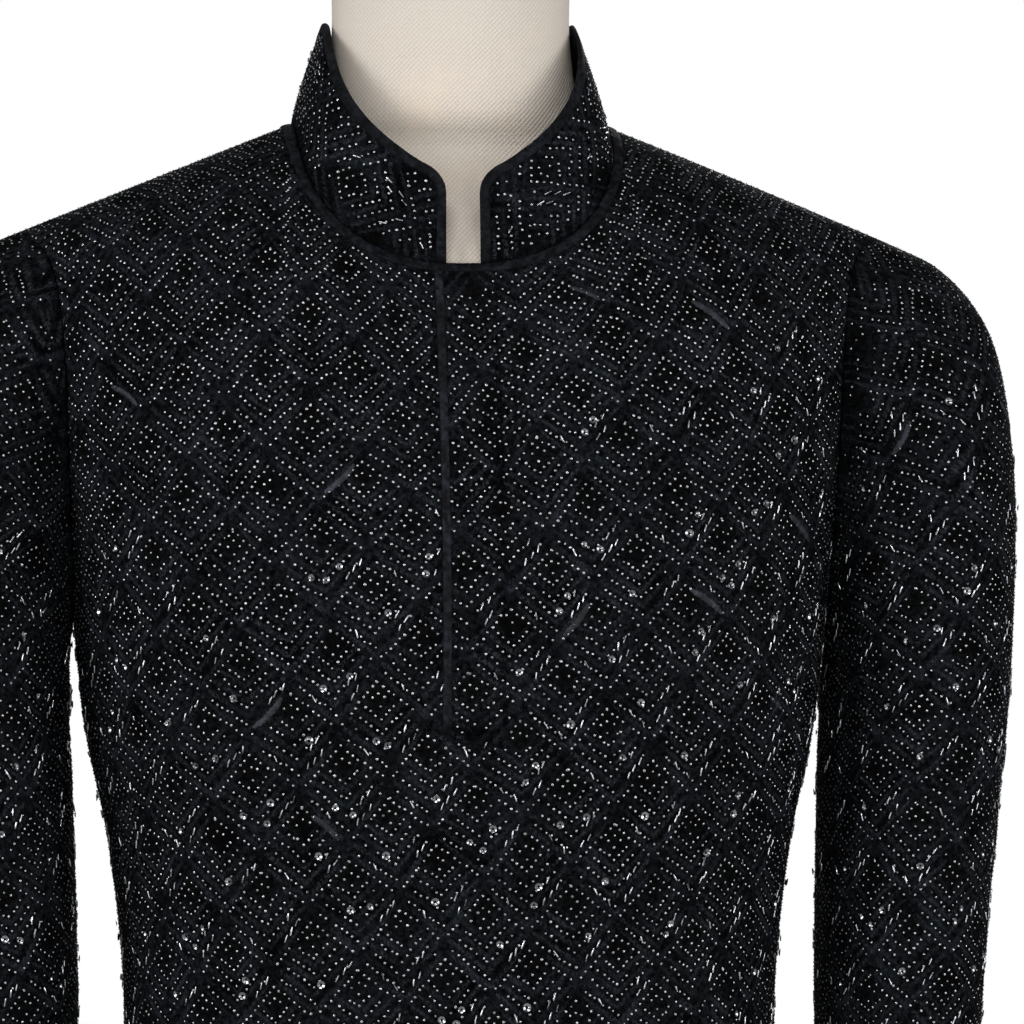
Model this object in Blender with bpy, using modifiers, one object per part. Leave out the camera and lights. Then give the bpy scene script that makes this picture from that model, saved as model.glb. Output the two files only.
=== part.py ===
"""A long band-collared sherwani coat on a linen dress form with a round stand.

Metres, +Z up. The coat faces -Y and the wearer's left is +X. The origin lies on the floor, under the pole.
"""

import math

import bmesh
import bpy
import numpy as np

# Driving sizes of the coat, to the outer face of its cloth
CLOTH = 0.0020  # embroidered cloth on its backing
SEAM_GAP = 0.0004
ARMHOLE_GAP = 0.0012
HEM_Z = 0.430
SLIT_TOP_Z = 0.780
SLIT_OPENING = 0.014  # between front and back at the hem
UNDERARM_Z = 1.195
SIDE_NECK_X = 0.084
SIDE_NECK_Z = 1.462
FRONT_NECK_DROP = 0.077
BACK_NECK_DROP = 0.012
FRONT_NECK_POWER = 2.35  # 2 is an ellipse, more is squarer
BACK_NECK_POWER = 2.0
SHOULDER_TIP_X = 0.240
SHOULDER_FALL = 0.4036  # how far the seam drops for each metre out
SHOULDER_RIDGE_Y = 0.012
NECK_MIDDLE = (0.0, -0.006, 0.0)
SECTION_POWER = 2.4
PLACKET_HALF_WIDTH = 0.0157
PLACKET_END_Z = 1.140
PLACKET_CLOTH = 0.0012
PLACKET_TOP_GAP = 0.0006  # up to the neckline band
NECKLINE_BAND_WIDTH = 0.005
NECKLINE_BAND_CLOTH = 0.0010
NECKLINE_BAND_AIR = 0.0008
LAID_ON = 0.0004  # air between a panel and what is sewn on it
COLLAR_CLOTH = 0.0020
COLLAR_SEAM = 0.0010
COLLAR_GAP_HALF = 0.0098  # half the opening between the collar's front ends
COLLAR_CORNER = 0.011  # radius of its rounded front corners
COLLAR_CURVE_RADIUS = 0.082
CORNER_STEPS = (0.0, 0.7, 1.8, 3.4, 5.6)  # degrees from the front end, round its corner
BINDING_WIDTH = 0.0042
BINDING_CLOTH = 0.0006
BINDING_AIR = 0.0012

# Body below the underarm: height, half width, depth in front, depth behind
BODY_SECTIONS = (
    (0.430, 0.2260, 0.168, 0.152),
    (0.600, 0.2120, 0.155, 0.144),
    (0.780, 0.1960, 0.142, 0.136),
    (0.900, 0.1800, 0.130, 0.120),
    (0.990, 0.1720, 0.123, 0.107),
    (1.045, 0.1755, 0.125, 0.109),
    (1.090, 0.1818, 0.130, 0.115),
    (1.140, 0.1922, 0.134, 0.122),
    (1.195, 0.1985, 0.136, 0.126),
)

# Armhole edge on its way up: share of the way, distance from the middle, half width that the chest's curve aims at
ARMHOLE = (
    (0.00, 0.1985, 0.1985),
    (0.20, 0.2020, 0.2075),
    (0.45, 0.2050, 0.2180),
    (0.70, 0.2130, 0.2330),
    (0.88, 0.2270, 0.2490),
    (1.00, 0.2400, 0.2620),
)

# Sleeve rings: share of the way, outer x, outer z, inner x, inner z, front y, back y
SLEEVE_RINGS = (
    (0.00, 0.2400, 1.3990, 0.1993, 1.1950, -0.056, 0.062),
    (0.08, 0.2655, 1.3860, 0.2004, 1.1880, -0.064, 0.074),
    (0.18, 0.2890, 1.3540, 0.2006, 1.1760, -0.072, 0.082),
    (0.30, 0.3010, 1.2900, 0.2002, 1.1500, -0.077, 0.083),
    (0.45, 0.3005, 1.1900, 0.1985, 1.0900, -0.077, 0.077),
    (0.60, 0.2915, 1.0880, 0.1965, 1.0200, -0.076, 0.066),
    (0.72, 0.2830, 1.0000, 0.1955, 0.9550, -0.076, 0.055),
    (0.86, 0.2770, 0.8950, 0.1985, 0.8700, -0.081, 0.036),
    (1.00, 0.2730, 0.7900, 0.2030, 0.7880, -0.086, 0.010),
)

# Collar: angle round the neck from the front, height of the band, how far its top leans in
COLLAR_BAND = (
    (0, 0.0450, 0.002),
    (12, 0.0480, 0.004),
    (28, 0.0550, 0.008),
    (52, 0.0600, 0.013),
    (75, 0.0600, 0.0162),
    (90, 0.0550, 0.0151),
    (135, 0.0500, 0.008),
    (180, 0.0480, 0.006),
)

# Soft folds of the skirt: distance along the panel from its middle, width, depth, height where they fade out
FRONT_FOLDS = (
    (-0.150, 0.032, 0.009, 0.86),
    (-0.066, 0.026, 0.006, 0.74),
    (0.018, 0.030, 0.004, 0.66),
    (0.094, 0.028, 0.007, 0.80),
    (0.172, 0.026, 0.009, 0.88),
)
BACK_FOLDS = (
    (-0.168, 0.028, 0.008, 0.88),
    (-0.080, 0.030, 0.007, 0.92),
    (0.004, 0.034, 0.009, 0.94),
    (0.088, 0.028, 0.006, 0.84),
    (0.160, 0.030, 0.008, 0.90),
)

# Sleeve creases: share of the way down, where round the sleeve (90 front, 180 outer), width, spread, depth
SLEEVE_CREASES = (
    (0.20, 62, 0.030, 44, 0.0030),
    (0.34, 40, 0.030, 50, 0.0030),
    (0.62, 95, 0.022, 60, 0.0034),
    (0.69, 60, 0.022, 56, 0.0040),
    (0.75, 110, 0.022, 52, 0.0030),
    (0.80, 280, 0.024, 46, 0.0024),
    (0.92, 150, 0.024, 60, 0.0024),
)
CREASE_SLANT = 0.0004  # share of the way that a crease runs down for each degree round

# The panels' columns under the neckline: distance from the middle at the neckline, and further down
NECK_COLUMNS = (
    (PLACKET_HALF_WIDTH, PLACKET_HALF_WIDTH),
    (0.0300, 0.0300),
    (0.0450, 0.0450),
    (0.0590, 0.0580),
    (0.0710, 0.0690),
    (0.0790, 0.0780),
    (0.0820, 0.0860),
    (0.0834, 0.0930),
    (0.0839, 0.0990),
    (SIDE_NECK_X, 0.1050),
)
SIDE_COLUMNS = 7
LOWER_ROWS = (0.430, 0.500, 0.570, 0.640, 0.710, 0.780, 0.850, 0.920, 0.985, 1.045, 1.100, 1.150)
UPPER_ROWS = (0.0, 0.12, 0.25, 0.38, 0.51, 0.64, 0.77, 0.88, 0.955, 1.0)
SLEEVE_ROWS = (0.0, 0.04, 0.09, 0.15, 0.22, 0.30, 0.38, 0.46, 0.54, 0.61, 0.68, 0.75, 0.82, 0.91, 1.0)
SLEEVE_COLUMNS = 24
# Angles round the neck, closest together where the neckline turns steeply at the shoulder
FRONT_STATIONS = (16, 21, 26.5, 32.4, 38.5, 44.6, 51, 57.7, 64, 70.1, 74, 77.5, 80.3, 83.2, 86.2, 88.2, 89.2, 89.7, 90)
BACK_STATIONS = (91, 93.5, 96.8, 102.5, 109.9, 122.3, 135.4, 147.6, 159.1, 169)
NECK_STATIONS = FRONT_STATIONS + BACK_STATIONS
COLLAR_ROWS = (0.0, 0.25, 0.5, 0.75, 1.0)

# Driving sizes of the dress form
BASE_RADIUS = 0.160
BASE_HEIGHT = 0.014
POLE_RADIUS = 0.0125
FLANGE_RADIUS = 0.034
STAND_GAP = 0.0003  # between the stand's stacked pieces
FORM_COLUMNS = 32
FORM_TOP_Z = 1.610

# Dress form: height, half width, front y, back y, squareness. Its shoulders lie just under the coat's.
FORM_SECTIONS = (
    (0.800, 0.1500, -0.1000, 0.1040, 2.2),
    (0.812, 0.1580, -0.1080, 0.1100, 2.2),
    (0.860, 0.1600, -0.1100, 0.1060, 2.2),
    (0.930, 0.1520, -0.1030, 0.0960, 2.2),
    (1.000, 0.1460, -0.0990, 0.0840, 2.2),
    (1.080, 0.1560, -0.1060, 0.0920, 2.2),
    (1.195, 0.1740, -0.1200, 0.1040, 2.2),
    (1.280, 0.1790, -0.1100, 0.1040, 2.2),
    (1.340, 0.1810, -0.0920, 0.0960, 2.2),
    (1.385, 0.1805, -0.0730, 0.0830, 2.2),
    (1.412, 0.1780, -0.0600, 0.0750, 2.2),
    (1.420, 0.1750, -0.0550, 0.0720, 2.1),
    (1.430, 0.1561, -0.0500, 0.0700, 1.9),
    (1.440, 0.1313, -0.0450, 0.0640, 1.8),
    (1.450, 0.1045, -0.0440, 0.0590, 1.8),
    (1.456, 0.0870, -0.0480, 0.0550, 1.9),
    (1.4605, 0.0745, -0.0520, 0.0490, 2.0),
    (1.475, 0.0680, -0.0570, 0.0470, 2.0),
    (1.495, 0.0634, -0.0600, 0.0450, 2.0),
    (1.560, 0.0630, -0.0620, 0.0430, 2.0),
    (1.604, 0.0630, -0.0630, 0.0420, 2.0),
    (1.610, 0.0600, -0.0595, 0.0380, 2.0),
)

# Each finish: name, colour, roughness, metallic
LINEN = ("linen", (0.70, 0.65, 0.57), 0.9, 0.0)
BLACK_CLOTH = ("black_cloth", (0.010, 0.011, 0.013), 0.75, 0.0)
BLACK_TRIM = ("black_trim", (0.012, 0.012, 0.014), 0.6, 0.0)
STAND_METAL = ("stand_metal", (0.045, 0.045, 0.05), 0.4, 1.0)
CAP_WOOD = ("cap_wood", (0.20, 0.11, 0.05), 0.45, 0.0)


def reading(table, column, at):
    """One column of a table as a smooth curve over its first column, read at a value."""
    rows = np.array(table, float)
    x, y = rows[:, 0], rows[:, column]
    slope = np.gradient(y, x)
    at = min(max(at, x[0]), x[-1])
    i = min(int(np.searchsorted(x, at, side="right")) - 1, len(x) - 2)
    span = x[i + 1] - x[i]
    t = (at - x[i]) / span
    start = (1 + 2 * t) * (1 - t) ** 2 * y[i] + t * (1 - t) ** 2 * span * slope[i]
    end = t * t * (3 - 2 * t) * y[i + 1] + t * t * (t - 1) * span * slope[i + 1]
    return float(start + end)


def smooth_step(t):
    t = min(max(t, 0.0), 1.0)
    return t * t * (3 - 2 * t)


def bulge(share, power):
    """Depth of a squarish oval at a share of its half width, as a share of its full depth."""
    return max(1 - min(abs(share), 1.0) ** power, 0.0) ** (1 / power)


def seam_height(x):
    """Height of the shoulder line, which runs on over the neck in a round arch as a guide."""
    if abs(x) < SIDE_NECK_X:
        return SIDE_NECK_Z + (SIDE_NECK_X**2 - x * x) / (2 * SIDE_NECK_X) * SHOULDER_FALL
    return SIDE_NECK_Z - (abs(x) - SIDE_NECK_X) * SHOULDER_FALL


def profile_power(side, x):
    """How squarely the panel rises to the shoulder: the middle of the chest slopes back to the neck."""
    return 2.1 if side > 0 else 1.6 + 0.8 * smooth_step(abs(x) / 0.15)


def rise_to_edge(side, x):
    """How far up its profile, from 0 to 1, a column ends: at the neckline or at the shoulder seam."""
    if abs(x) >= SIDE_NECK_X:
        return 1.0
    drop, power = (FRONT_NECK_DROP, FRONT_NECK_POWER) if side < 0 else (BACK_NECK_DROP, BACK_NECK_POWER)
    neckline = SIDE_NECK_Z - drop * bulge(x / SIDE_NECK_X, power)
    reach = (neckline - UNDERARM_Z) / (seam_height(x) - UNDERARM_Z)
    return math.asin(reach ** (profile_power(side, x) / 2)) / (math.pi / 2)


def chest_point(side, x, aim, rise):
    """A point of the coat's outer face above the underarm: rise is its share of the quarter turn to the shoulder."""
    depth = BODY_SECTIONS[-1][2 if side < 0 else 3]
    level = side * depth * bulge(x / aim, SECTION_POWER)
    power = profile_power(side, x)
    turn = rise * math.pi / 2
    y = SHOULDER_RIDGE_Y + (level - SHOULDER_RIDGE_Y) * max(math.cos(turn), 0) ** (2 / power)
    z = UNDERARM_Z + (seam_height(x) - UNDERARM_Z) * math.sin(turn) ** (2 / power)
    return np.array([x, y, z])


def upper_point(side, column, rise):
    """A point of a body panel from the underarm (rise 0) to its upper edge (rise 1). side is -1 in front, 1 behind.

    A column is 1 or -1 for the wearer's left or right, its distance from the middle at the top and further down, and
    past the neck a share of the way on from there to the panel's edge.
    """
    hand, top, low, share = column
    start = low + (top - low) * rise
    x = start + (reading(ARMHOLE, 1, rise) - start) * share
    top_x = top + (SHOULDER_TIP_X - top) * share
    point = chest_point(side, hand * x, reading(ARMHOLE, 2, rise), rise * rise_to_edge(side, top_x))
    point[1] += side * SEAM_GAP / 2
    return point


def skirt_folds(side, x, z):
    """How far the hanging skirt stands out in its soft folds."""
    out = 0.0
    for middle, width, depth, top in FRONT_FOLDS if side < 0 else BACK_FOLDS:
        lean = middle * (1 + 0.10 * (top - z))
        swell = math.exp(-(((x - lean) / width) ** 2)) - 0.35
        out += depth * smooth_step((top - z) / (top - HEM_Z)) * swell
    return out


def lower_point(side, column, z):
    """A point of a body panel at a height below the underarm."""
    hand, top, low, share = column
    width = reading(BODY_SECTIONS, 1, z)
    depth = reading(BODY_SECTIONS, 2 if side < 0 else 3, z)
    x = hand * (low + (width - low) * share)
    y = side * depth * bulge(x / width, SECTION_POWER)
    out = skirt_folds(side, x, z) * (1 - share**4)
    slit = SLIT_OPENING / 2 * max(0.0, (SLIT_TOP_Z - z) / (SLIT_TOP_Z - HEM_Z)) * share**6
    return np.array([x + out * x / width * 0.5, y + side * (out + SEAM_GAP / 2 + slit), z])


def panel_columns(side_columns):
    """Columns of a body panel from the wearer's right to the left, closer together where it curves round."""
    half = [(1, top, low, 0.0) for top, low in NECK_COLUMNS]
    half += [(1, *NECK_COLUMNS[-1], 1 - (1 - (i + 1) / side_columns) ** 1.7) for i in range(side_columns)]
    return [(-1, *column[1:]) for column in reversed(half)] + [(1, 0.0, 0.0, 0.0)] + half


def panel_grid(side, columns, rises=UPPER_ROWS):
    """A body panel's points in rows from the hem up to the neckline and shoulders."""
    rows = [[lower_point(side, column, z) for column in columns] for z in LOWER_ROWS]
    rows += [[upper_point(side, column, rise) for column in columns] for rise in rises]
    return np.array(rows)


def unit(vectors):
    return vectors / np.linalg.norm(vectors, axis=-1, keepdims=True)


def outward(grid, closed=False):
    """Unit normals of a grid whose rows run up and whose columns run to the right, seen from outside."""
    up = np.gradient(grid, axis=0)
    right = (np.roll(grid, -1, axis=1) - np.roll(grid, 1, axis=1)) if closed else np.gradient(grid, axis=1)
    return unit(np.cross(right, up))


def place(name, mesh, finish):
    """Puts a mesh into the coat's collection as a named object with its finish."""
    obj = bpy.data.objects.new(name, mesh)
    coat_parts.objects.link(obj)
    label, colour, roughness, metallic = finish
    material = bpy.data.materials.get(label) or bpy.data.materials.new(label)
    material.use_nodes = True
    shader = material.node_tree.nodes["Principled BSDF"]
    shader.inputs["Base Color"].default_value = (*colour, 1)
    shader.inputs["Roughness"].default_value = roughness
    shader.inputs["Metallic"].default_value = metallic
    mesh.materials.append(material)
    return obj


def grid_faces(rows, columns, closed=False, start=0):
    """Quads of a grid whose rows follow one another in the point list."""
    faces = []
    for i in range(rows - 1):
        for j in range(columns if closed else columns - 1):
            k = (j + 1) % columns
            low, high = start + i * columns, start + (i + 1) * columns
            faces.append((low + j, low + k, high + k, high + j))
    return faces


def facing_out(name, points, faces):
    """A mesh from points and faces, with all its faces turned outwards."""
    mesh = bpy.data.meshes.new(name)
    mesh.from_pydata([tuple(point) for point in points], [], faces)
    shape = bmesh.new()
    shape.from_mesh(mesh)
    bmesh.ops.recalc_face_normals(shape, faces=shape.faces[:])
    shape.to_mesh(mesh)
    shape.free()
    mesh.shade_smooth()
    return mesh


def cloth_wall(name, face, behind, finish, closed=False):
    """A piece of cloth: a grid for its outer face, one for the face behind it, and the cut edges between them."""
    rows, columns = face.shape[:2]
    count = rows * columns
    points = np.concatenate([face.reshape(-1, 3), behind.reshape(-1, 3)])
    faces = grid_faces(rows, columns, closed)
    faces += [tuple(reversed(quad)) for quad in grid_faces(rows, columns, closed, start=count)]
    for row in (0, rows - 1):
        for j in range(columns if closed else columns - 1):
            a, b = row * columns + j, row * columns + (j + 1) % columns
            faces.append((a, b, b + count, a + count))
    if not closed:
        for column in (0, columns - 1):
            for i in range(rows - 1):
                a, b = i * columns + column, (i + 1) * columns + column
                faces.append((a, b, b + count, a + count))
    return place(name, facing_out(name, points, faces), finish)


def build_body_panel(name, side):
    """Front or back in one panel, from side seam to side seam, with the shoulders, neckline and armholes."""
    columns = panel_columns(SIDE_COLUMNS)
    face = panel_grid(side, columns)
    normals = outward(face) * -side
    seam_rows = len(LOWER_ROWS) + 1
    normals[:seam_rows, (0, -1), 1] = 0
    at_shoulder = np.array([column[1] for column in columns]) >= SIDE_NECK_X
    normals[-1, at_shoulder, 1] = 0
    return cloth_wall(name, face, face - unit(normals) * CLOTH, BLACK_CLOTH)


def build_placket():
    """The strip over the half-length front opening, laid on the front's own points."""
    edge = NECK_COLUMNS[0]
    columns = [(-1, *edge, 0.0), (1, 0.0, 0.0, 0.0), (1, *edge, 0.0)]
    rows = [[lower_point(-1, column, z) for column in columns] for z in (PLACKET_END_Z, LOWER_ROWS[-1])]
    rows += [[upper_point(-1, column, rise) for column in columns] for rise in UPPER_ROWS]
    rows = np.array(rows)
    rows[-1] += unit(rows[-2] - rows[-1]) * (NECKLINE_BAND_WIDTH + PLACKET_TOP_GAP)
    normals = outward(rows)
    behind = rows + normals * LAID_ON
    return cloth_wall("placket", behind + normals * PLACKET_CLOTH, behind, BLACK_CLOTH)


def near_neckline(angle, width):
    """A point of the coat's outer face at a distance from the neckline, straight away from the neck's middle."""
    start = neckline_point(angle)
    away = unit((start - NECK_MIDDLE) * np.array([1, 1, 0]))
    out = width
    for _ in range(4):
        x, y = (start + away * out)[:2]
        side = -1 if y < SHOULDER_RIDGE_Y else 1
        level = side * BODY_SECTIONS[-1][2 if side < 0 else 3] * bulge(x / ARMHOLE[-1][2], SECTION_POWER)
        share = (y - SHOULDER_RIDGE_Y) / (level - SHOULDER_RIDGE_Y)
        z = UNDERARM_Z + (seam_height(x) - UNDERARM_Z) * bulge(share, profile_power(side, x))
        point = np.array([x, y, z])
        out *= width / np.linalg.norm(point - start)
    return point


def build_neckline_band():
    """The narrow plain band that covers the collar's seam, laid on front and back all the way round the neck."""
    half = [5, 10.5, *NECK_STATIONS]
    angles = [0] + half + [180] + [-angle for angle in reversed(half)]
    rows = [[near_neckline(angle, out) for angle in angles] for out in (NECKLINE_BAND_WIDTH, 0.0004)]
    rows = np.array(rows)
    normals = unit(np.cross(np.roll(rows, -1, axis=1) - np.roll(rows, 1, axis=1), rows[1] - rows[0]))
    behind = rows + normals * NECKLINE_BAND_AIR
    return cloth_wall("neckline_band", behind + normals * NECKLINE_BAND_CLOTH, behind, BLACK_TRIM, closed=True)


def armhole_loop(mirror):
    """The armhole's edge from the underarm up the front to the shoulder tip and down the back, just off the panels."""
    loop = []
    for k in range(SLEEVE_COLUMNS):
        turn = 2 * k / SLEEVE_COLUMNS
        side, rise = (-1, turn) if turn <= 1 else (1, 2 - turn)
        edge = upper_point(side, (1, *NECK_COLUMNS[-1], 1.0), rise)
        out = unit(edge - upper_point(side, (1, *NECK_COLUMNS[-1], 0.95), rise))
        if rise in (0.0, 1.0):
            edge[1] = SHOULDER_RIDGE_Y * rise
            out = unit(np.array([1.0, 0.0, -SHOULDER_FALL * rise]))
        point = edge + out * ARMHOLE_GAP
        loop.append(point * np.array([mirror, 1, 1]))
    return np.array(loop)


def sleeve_ring(share, mirror):
    """An oval across the sleeve at a share of its way from armhole to cuff, from the inner side round by the front."""
    outer = np.array([reading(SLEEVE_RINGS, 1, share), 0.0, reading(SLEEVE_RINGS, 2, share)])
    inner = np.array([reading(SLEEVE_RINGS, 3, share), 0.0, reading(SLEEVE_RINGS, 4, share)])
    front, back = reading(SLEEVE_RINGS, 5, share), reading(SLEEVE_RINGS, 6, share)
    ring = []
    for k in range(SLEEVE_COLUMNS):
        turn = 2 * math.pi * k / SLEEVE_COLUMNS
        along = math.copysign(abs(math.cos(turn)) ** 0.92, math.cos(turn))
        across = math.copysign(abs(math.sin(turn)) ** 0.92, math.sin(turn))
        point = (outer + inner) / 2 - (outer - inner) / 2 * along
        point[1] = (front + back) / 2 - (back - front) / 2 * across
        ring.append(point * np.array([mirror, 1, 1]))
    return np.array(ring)


def sleeve_crease(share, turn):
    """How deep the creases press in at a share of the way down and an angle round the sleeve."""
    deep = 0.0
    for down, where, width, spread, depth in SLEEVE_CREASES:
        off = (turn - where + 180) % 360 - 180
        along = share - down - off * CREASE_SLANT
        deep += depth * math.exp(-((along / width) ** 2) - (off / spread) ** 2)
    return deep


def build_sleeve(name, mirror):
    """One tube from the armhole to the wrist, its seam under the arm."""
    loop = armhole_loop(mirror)
    first = sleeve_ring(0.0, mirror)
    rows = []
    for share in SLEEVE_ROWS:
        set_in = 1 - smooth_step(share / 0.20)
        ring = sleeve_ring(share, mirror) + (loop - first) * set_in
        middle = ring.mean(axis=0)
        for k in range(SLEEVE_COLUMNS):
            pressed = sleeve_crease(share, 360 * k / SLEEVE_COLUMNS) * (1 - set_in)
            ring[k] -= unit(ring[k] - middle) * pressed
        rows.append(ring)
    face = np.array(rows)
    behind = face - outward(face, closed=True) * -mirror * CLOTH
    return cloth_wall(name, face, behind, BLACK_CLOTH, closed=True)


def neckline_point(angle):
    """A point of the neckline, by angle from the front (0) over the wearer's left (90) to the back (180)."""
    side = -1 if abs(angle) <= 90 else 1
    x = SIDE_NECK_X * math.sin(math.radians(angle))
    return chest_point(side, x, ARMHOLE[-1][2], rise_to_edge(side, x))


def collar_angles():
    """Angles round the neck from the wearer's right front end to the left one, on the panels' own columns."""
    end = math.degrees(math.asin(COLLAR_GAP_HALF / SIDE_NECK_X))
    corner = [end + step for step in CORNER_STEPS]
    half = [*corner, *NECK_STATIONS]
    return [-angle for angle in half] + [180] + list(reversed(half))


def collar_point(angle, share):
    """A point of the collar's outer face, at a share of the way from its seam to its top edge."""
    around = abs(angle)
    base = neckline_point(angle)
    height = reading(COLLAR_BAND, 1, around)
    end = math.degrees(math.asin(COLLAR_GAP_HALF / SIDE_NECK_X))
    from_end = math.radians(around - end) * COLLAR_CURVE_RADIUS
    if from_end < COLLAR_CORNER:
        height -= COLLAR_CORNER - math.sqrt(COLLAR_CORNER**2 - (COLLAR_CORNER - from_end) ** 2)
    inward = -unit((base - NECK_MIDDLE) * np.array([1, 1, 0]))
    lean = reading(COLLAR_BAND, 2, around) * (share + 0.10 * math.sin(share * math.pi))
    return base + np.array([0, 0, COLLAR_SEAM * 0.8 + height * share]) + inward * (COLLAR_SEAM + lean)


def collar_face():
    """The collar's outer face with its normals, from the neckline seam up to the top edge."""
    angles = collar_angles()
    face = np.array([[collar_point(angle, share) for angle in angles] for share in COLLAR_ROWS])
    return face, -outward(face)


def build_collar():
    """The stiffened band collar, open in front."""
    face, normals = collar_face()
    return cloth_wall("collar", face, face - normals * COLLAR_CLOTH, BLACK_CLOTH)


def build_collar_binding():
    """The bound edge that folds over the collar's front ends and its top."""
    face, normals = collar_face()
    inner_rows = range(len(COLLAR_ROWS) - 1)
    stations = [(i, 0) for i in inner_rows]
    stations += [(len(COLLAR_ROWS) - 1, j) for j in range(face.shape[1])]
    stations += [(i, face.shape[1] - 1) for i in reversed(inner_rows)]
    path = np.array([face[i, j] for i, j in stations])
    out = np.array([normals[i, j] for i, j in stations])
    forward = unit(np.gradient(path, axis=0))
    beyond = unit(np.cross(forward, out))
    near = BINDING_AIR
    far = BINDING_AIR + BINDING_CLOTH
    back_near = -COLLAR_CLOTH - near
    back_far = -COLLAR_CLOTH - far
    fold = (
        (far, -BINDING_WIDTH), (far, far), (back_far, far), (back_far, -BINDING_WIDTH),
        (back_near, -BINDING_WIDTH), (back_near, near), (near, near), (near, -BINDING_WIDTH),
    )
    points = [path[i] + out[i] * off + beyond[i] * over for i in range(len(path)) for off, over in fold]
    faces = grid_faces(len(path), len(fold), closed=True)
    faces += [tuple(range(len(fold))), tuple(range(len(points) - len(fold), len(points)))]
    return place("collar_binding", facing_out("collar_binding", points, faces), BLACK_TRIM)


def build_form_torso():
    """The linen-covered bust with its neck, one closed body."""
    points = []
    for height, width, front, back, power in FORM_SECTIONS:
        for k in range(FORM_COLUMNS):
            turn = 2 * math.pi * k / FORM_COLUMNS
            along = math.copysign(abs(math.cos(turn)) ** (2 / power), math.cos(turn))
            across = math.copysign(abs(math.sin(turn)) ** (2 / power), math.sin(turn))
            points.append((width * along, (front + back) / 2 + (back - front) / 2 * across, height))
    faces = grid_faces(len(FORM_SECTIONS), FORM_COLUMNS, closed=True)
    faces += [tuple(range(FORM_COLUMNS)), tuple(range(len(points) - FORM_COLUMNS, len(points)))]
    return place("form_torso", facing_out("form_torso", points, faces), LINEN)


def turned(name, profile, finish, steps, centre_y=0.0):
    """A turned piece, from a profile of (radius, height) that runs from top to bottom."""
    mesh = bpy.data.meshes.new(name)
    edges = [(i, i + 1) for i in range(len(profile) - 1)]
    mesh.from_pydata([(radius, 0, height) for radius, height in profile], edges, [])
    obj = place(name, mesh, finish)
    obj.location = (0, centre_y, 0)
    screw = obj.modifiers.new("turn", "SCREW")
    screw.steps = screw.render_steps = steps
    screw.use_merge_vertices = True
    screw.merge_threshold = 0.00005
    screw.use_smooth_shade = True
    return obj


def build_stand():
    """Round weighted plate and the pole that carries the bust."""
    rim, top = BASE_RADIUS, BASE_HEIGHT
    plate = [(0, top), (POLE_RADIUS + 0.016, top), (rim - 0.012, top - 0.003), (rim - 0.002, top - 0.006)]
    plate += [(rim, top - 0.009), (rim, 0.002), (rim - 0.002, 0), (0, 0)]
    turned("stand_base", plate, STAND_METAL, steps=40)
    top, bottom = FORM_SECTIONS[0][0] - STAND_GAP, BASE_HEIGHT + STAND_GAP
    pole = [(0, top), (FLANGE_RADIUS, top), (FLANGE_RADIUS, top - 0.004), (POLE_RADIUS + 0.003, top - 0.010)]
    pole += [(POLE_RADIUS, top - 0.016), (POLE_RADIUS, bottom + 0.020), (POLE_RADIUS + 0.006, bottom + 0.004)]
    pole += [(POLE_RADIUS + 0.006, bottom), (0, bottom)]
    turned("stand_pole", pole, STAND_METAL, steps=20)


def build_neck_cap():
    """The turned wooden cap that closes the form's neck."""
    base = FORM_TOP_Z + STAND_GAP
    cap = [(0, base + 0.046), (0.009, base + 0.045), (0.013, base + 0.038), (0.010, base + 0.030)]
    cap += [(0.009, base + 0.022), (0.016, base + 0.017), (0.038, base + 0.013), (0.050, base + 0.007)]
    cap += [(0.051, base), (0, base)]
    turned("neck_cap", cap, CAP_WOOD, steps=28, centre_y=-0.009)


def clear_scene():
    for obj in list(bpy.data.objects):
        bpy.data.objects.remove(obj, do_unlink=True)


clear_scene()
coat_parts = bpy.data.collections.new("sherwani_coat_on_dress_form")
bpy.context.scene.collection.children.link(coat_parts)
build_body_panel("front", -1)
build_body_panel("back", 1)
build_placket()
build_neckline_band()
build_sleeve("sleeve_right", -1)
build_sleeve("sleeve_left", 1)
build_collar()
build_collar_binding()
build_form_torso()
build_neck_cap()
build_stand()
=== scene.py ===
"""A black beaded sherwani coat on a linen dress form with a round stand.

Metres, +Z up. The coat faces -Y and the wearer's left is +X.
"""

import math

import bmesh
import bpy
import numpy as np
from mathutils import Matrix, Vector
from mathutils.bvhtree import BVHTree
from mathutils.kdtree import KDTree


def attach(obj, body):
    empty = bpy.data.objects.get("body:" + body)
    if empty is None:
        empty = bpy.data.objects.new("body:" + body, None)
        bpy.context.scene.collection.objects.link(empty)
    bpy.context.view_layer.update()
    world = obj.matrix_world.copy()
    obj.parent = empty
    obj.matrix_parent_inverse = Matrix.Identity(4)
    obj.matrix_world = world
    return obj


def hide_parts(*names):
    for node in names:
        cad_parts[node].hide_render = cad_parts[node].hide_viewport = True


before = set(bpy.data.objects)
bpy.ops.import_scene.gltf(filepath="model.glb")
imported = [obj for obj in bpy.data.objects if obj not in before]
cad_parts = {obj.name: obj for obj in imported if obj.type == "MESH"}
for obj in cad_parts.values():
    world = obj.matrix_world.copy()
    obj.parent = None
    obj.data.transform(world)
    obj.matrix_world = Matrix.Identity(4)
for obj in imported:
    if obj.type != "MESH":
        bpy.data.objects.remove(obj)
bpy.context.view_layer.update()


# Camera
# It stands level with the chest, a little to the wearer's right, so far off that the collar hardly tapers.
VIEW_TURN = math.radians(6)
VIEW_HEIGHT = 1.2565
VIEW_DISTANCE = 3.1
VIEW_ACROSS = 0.0334  # how far the middle of the view lies to the wearer's left of the neck
VIEW_WIDTH = 0.543
SENSOR = 36.0

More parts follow.
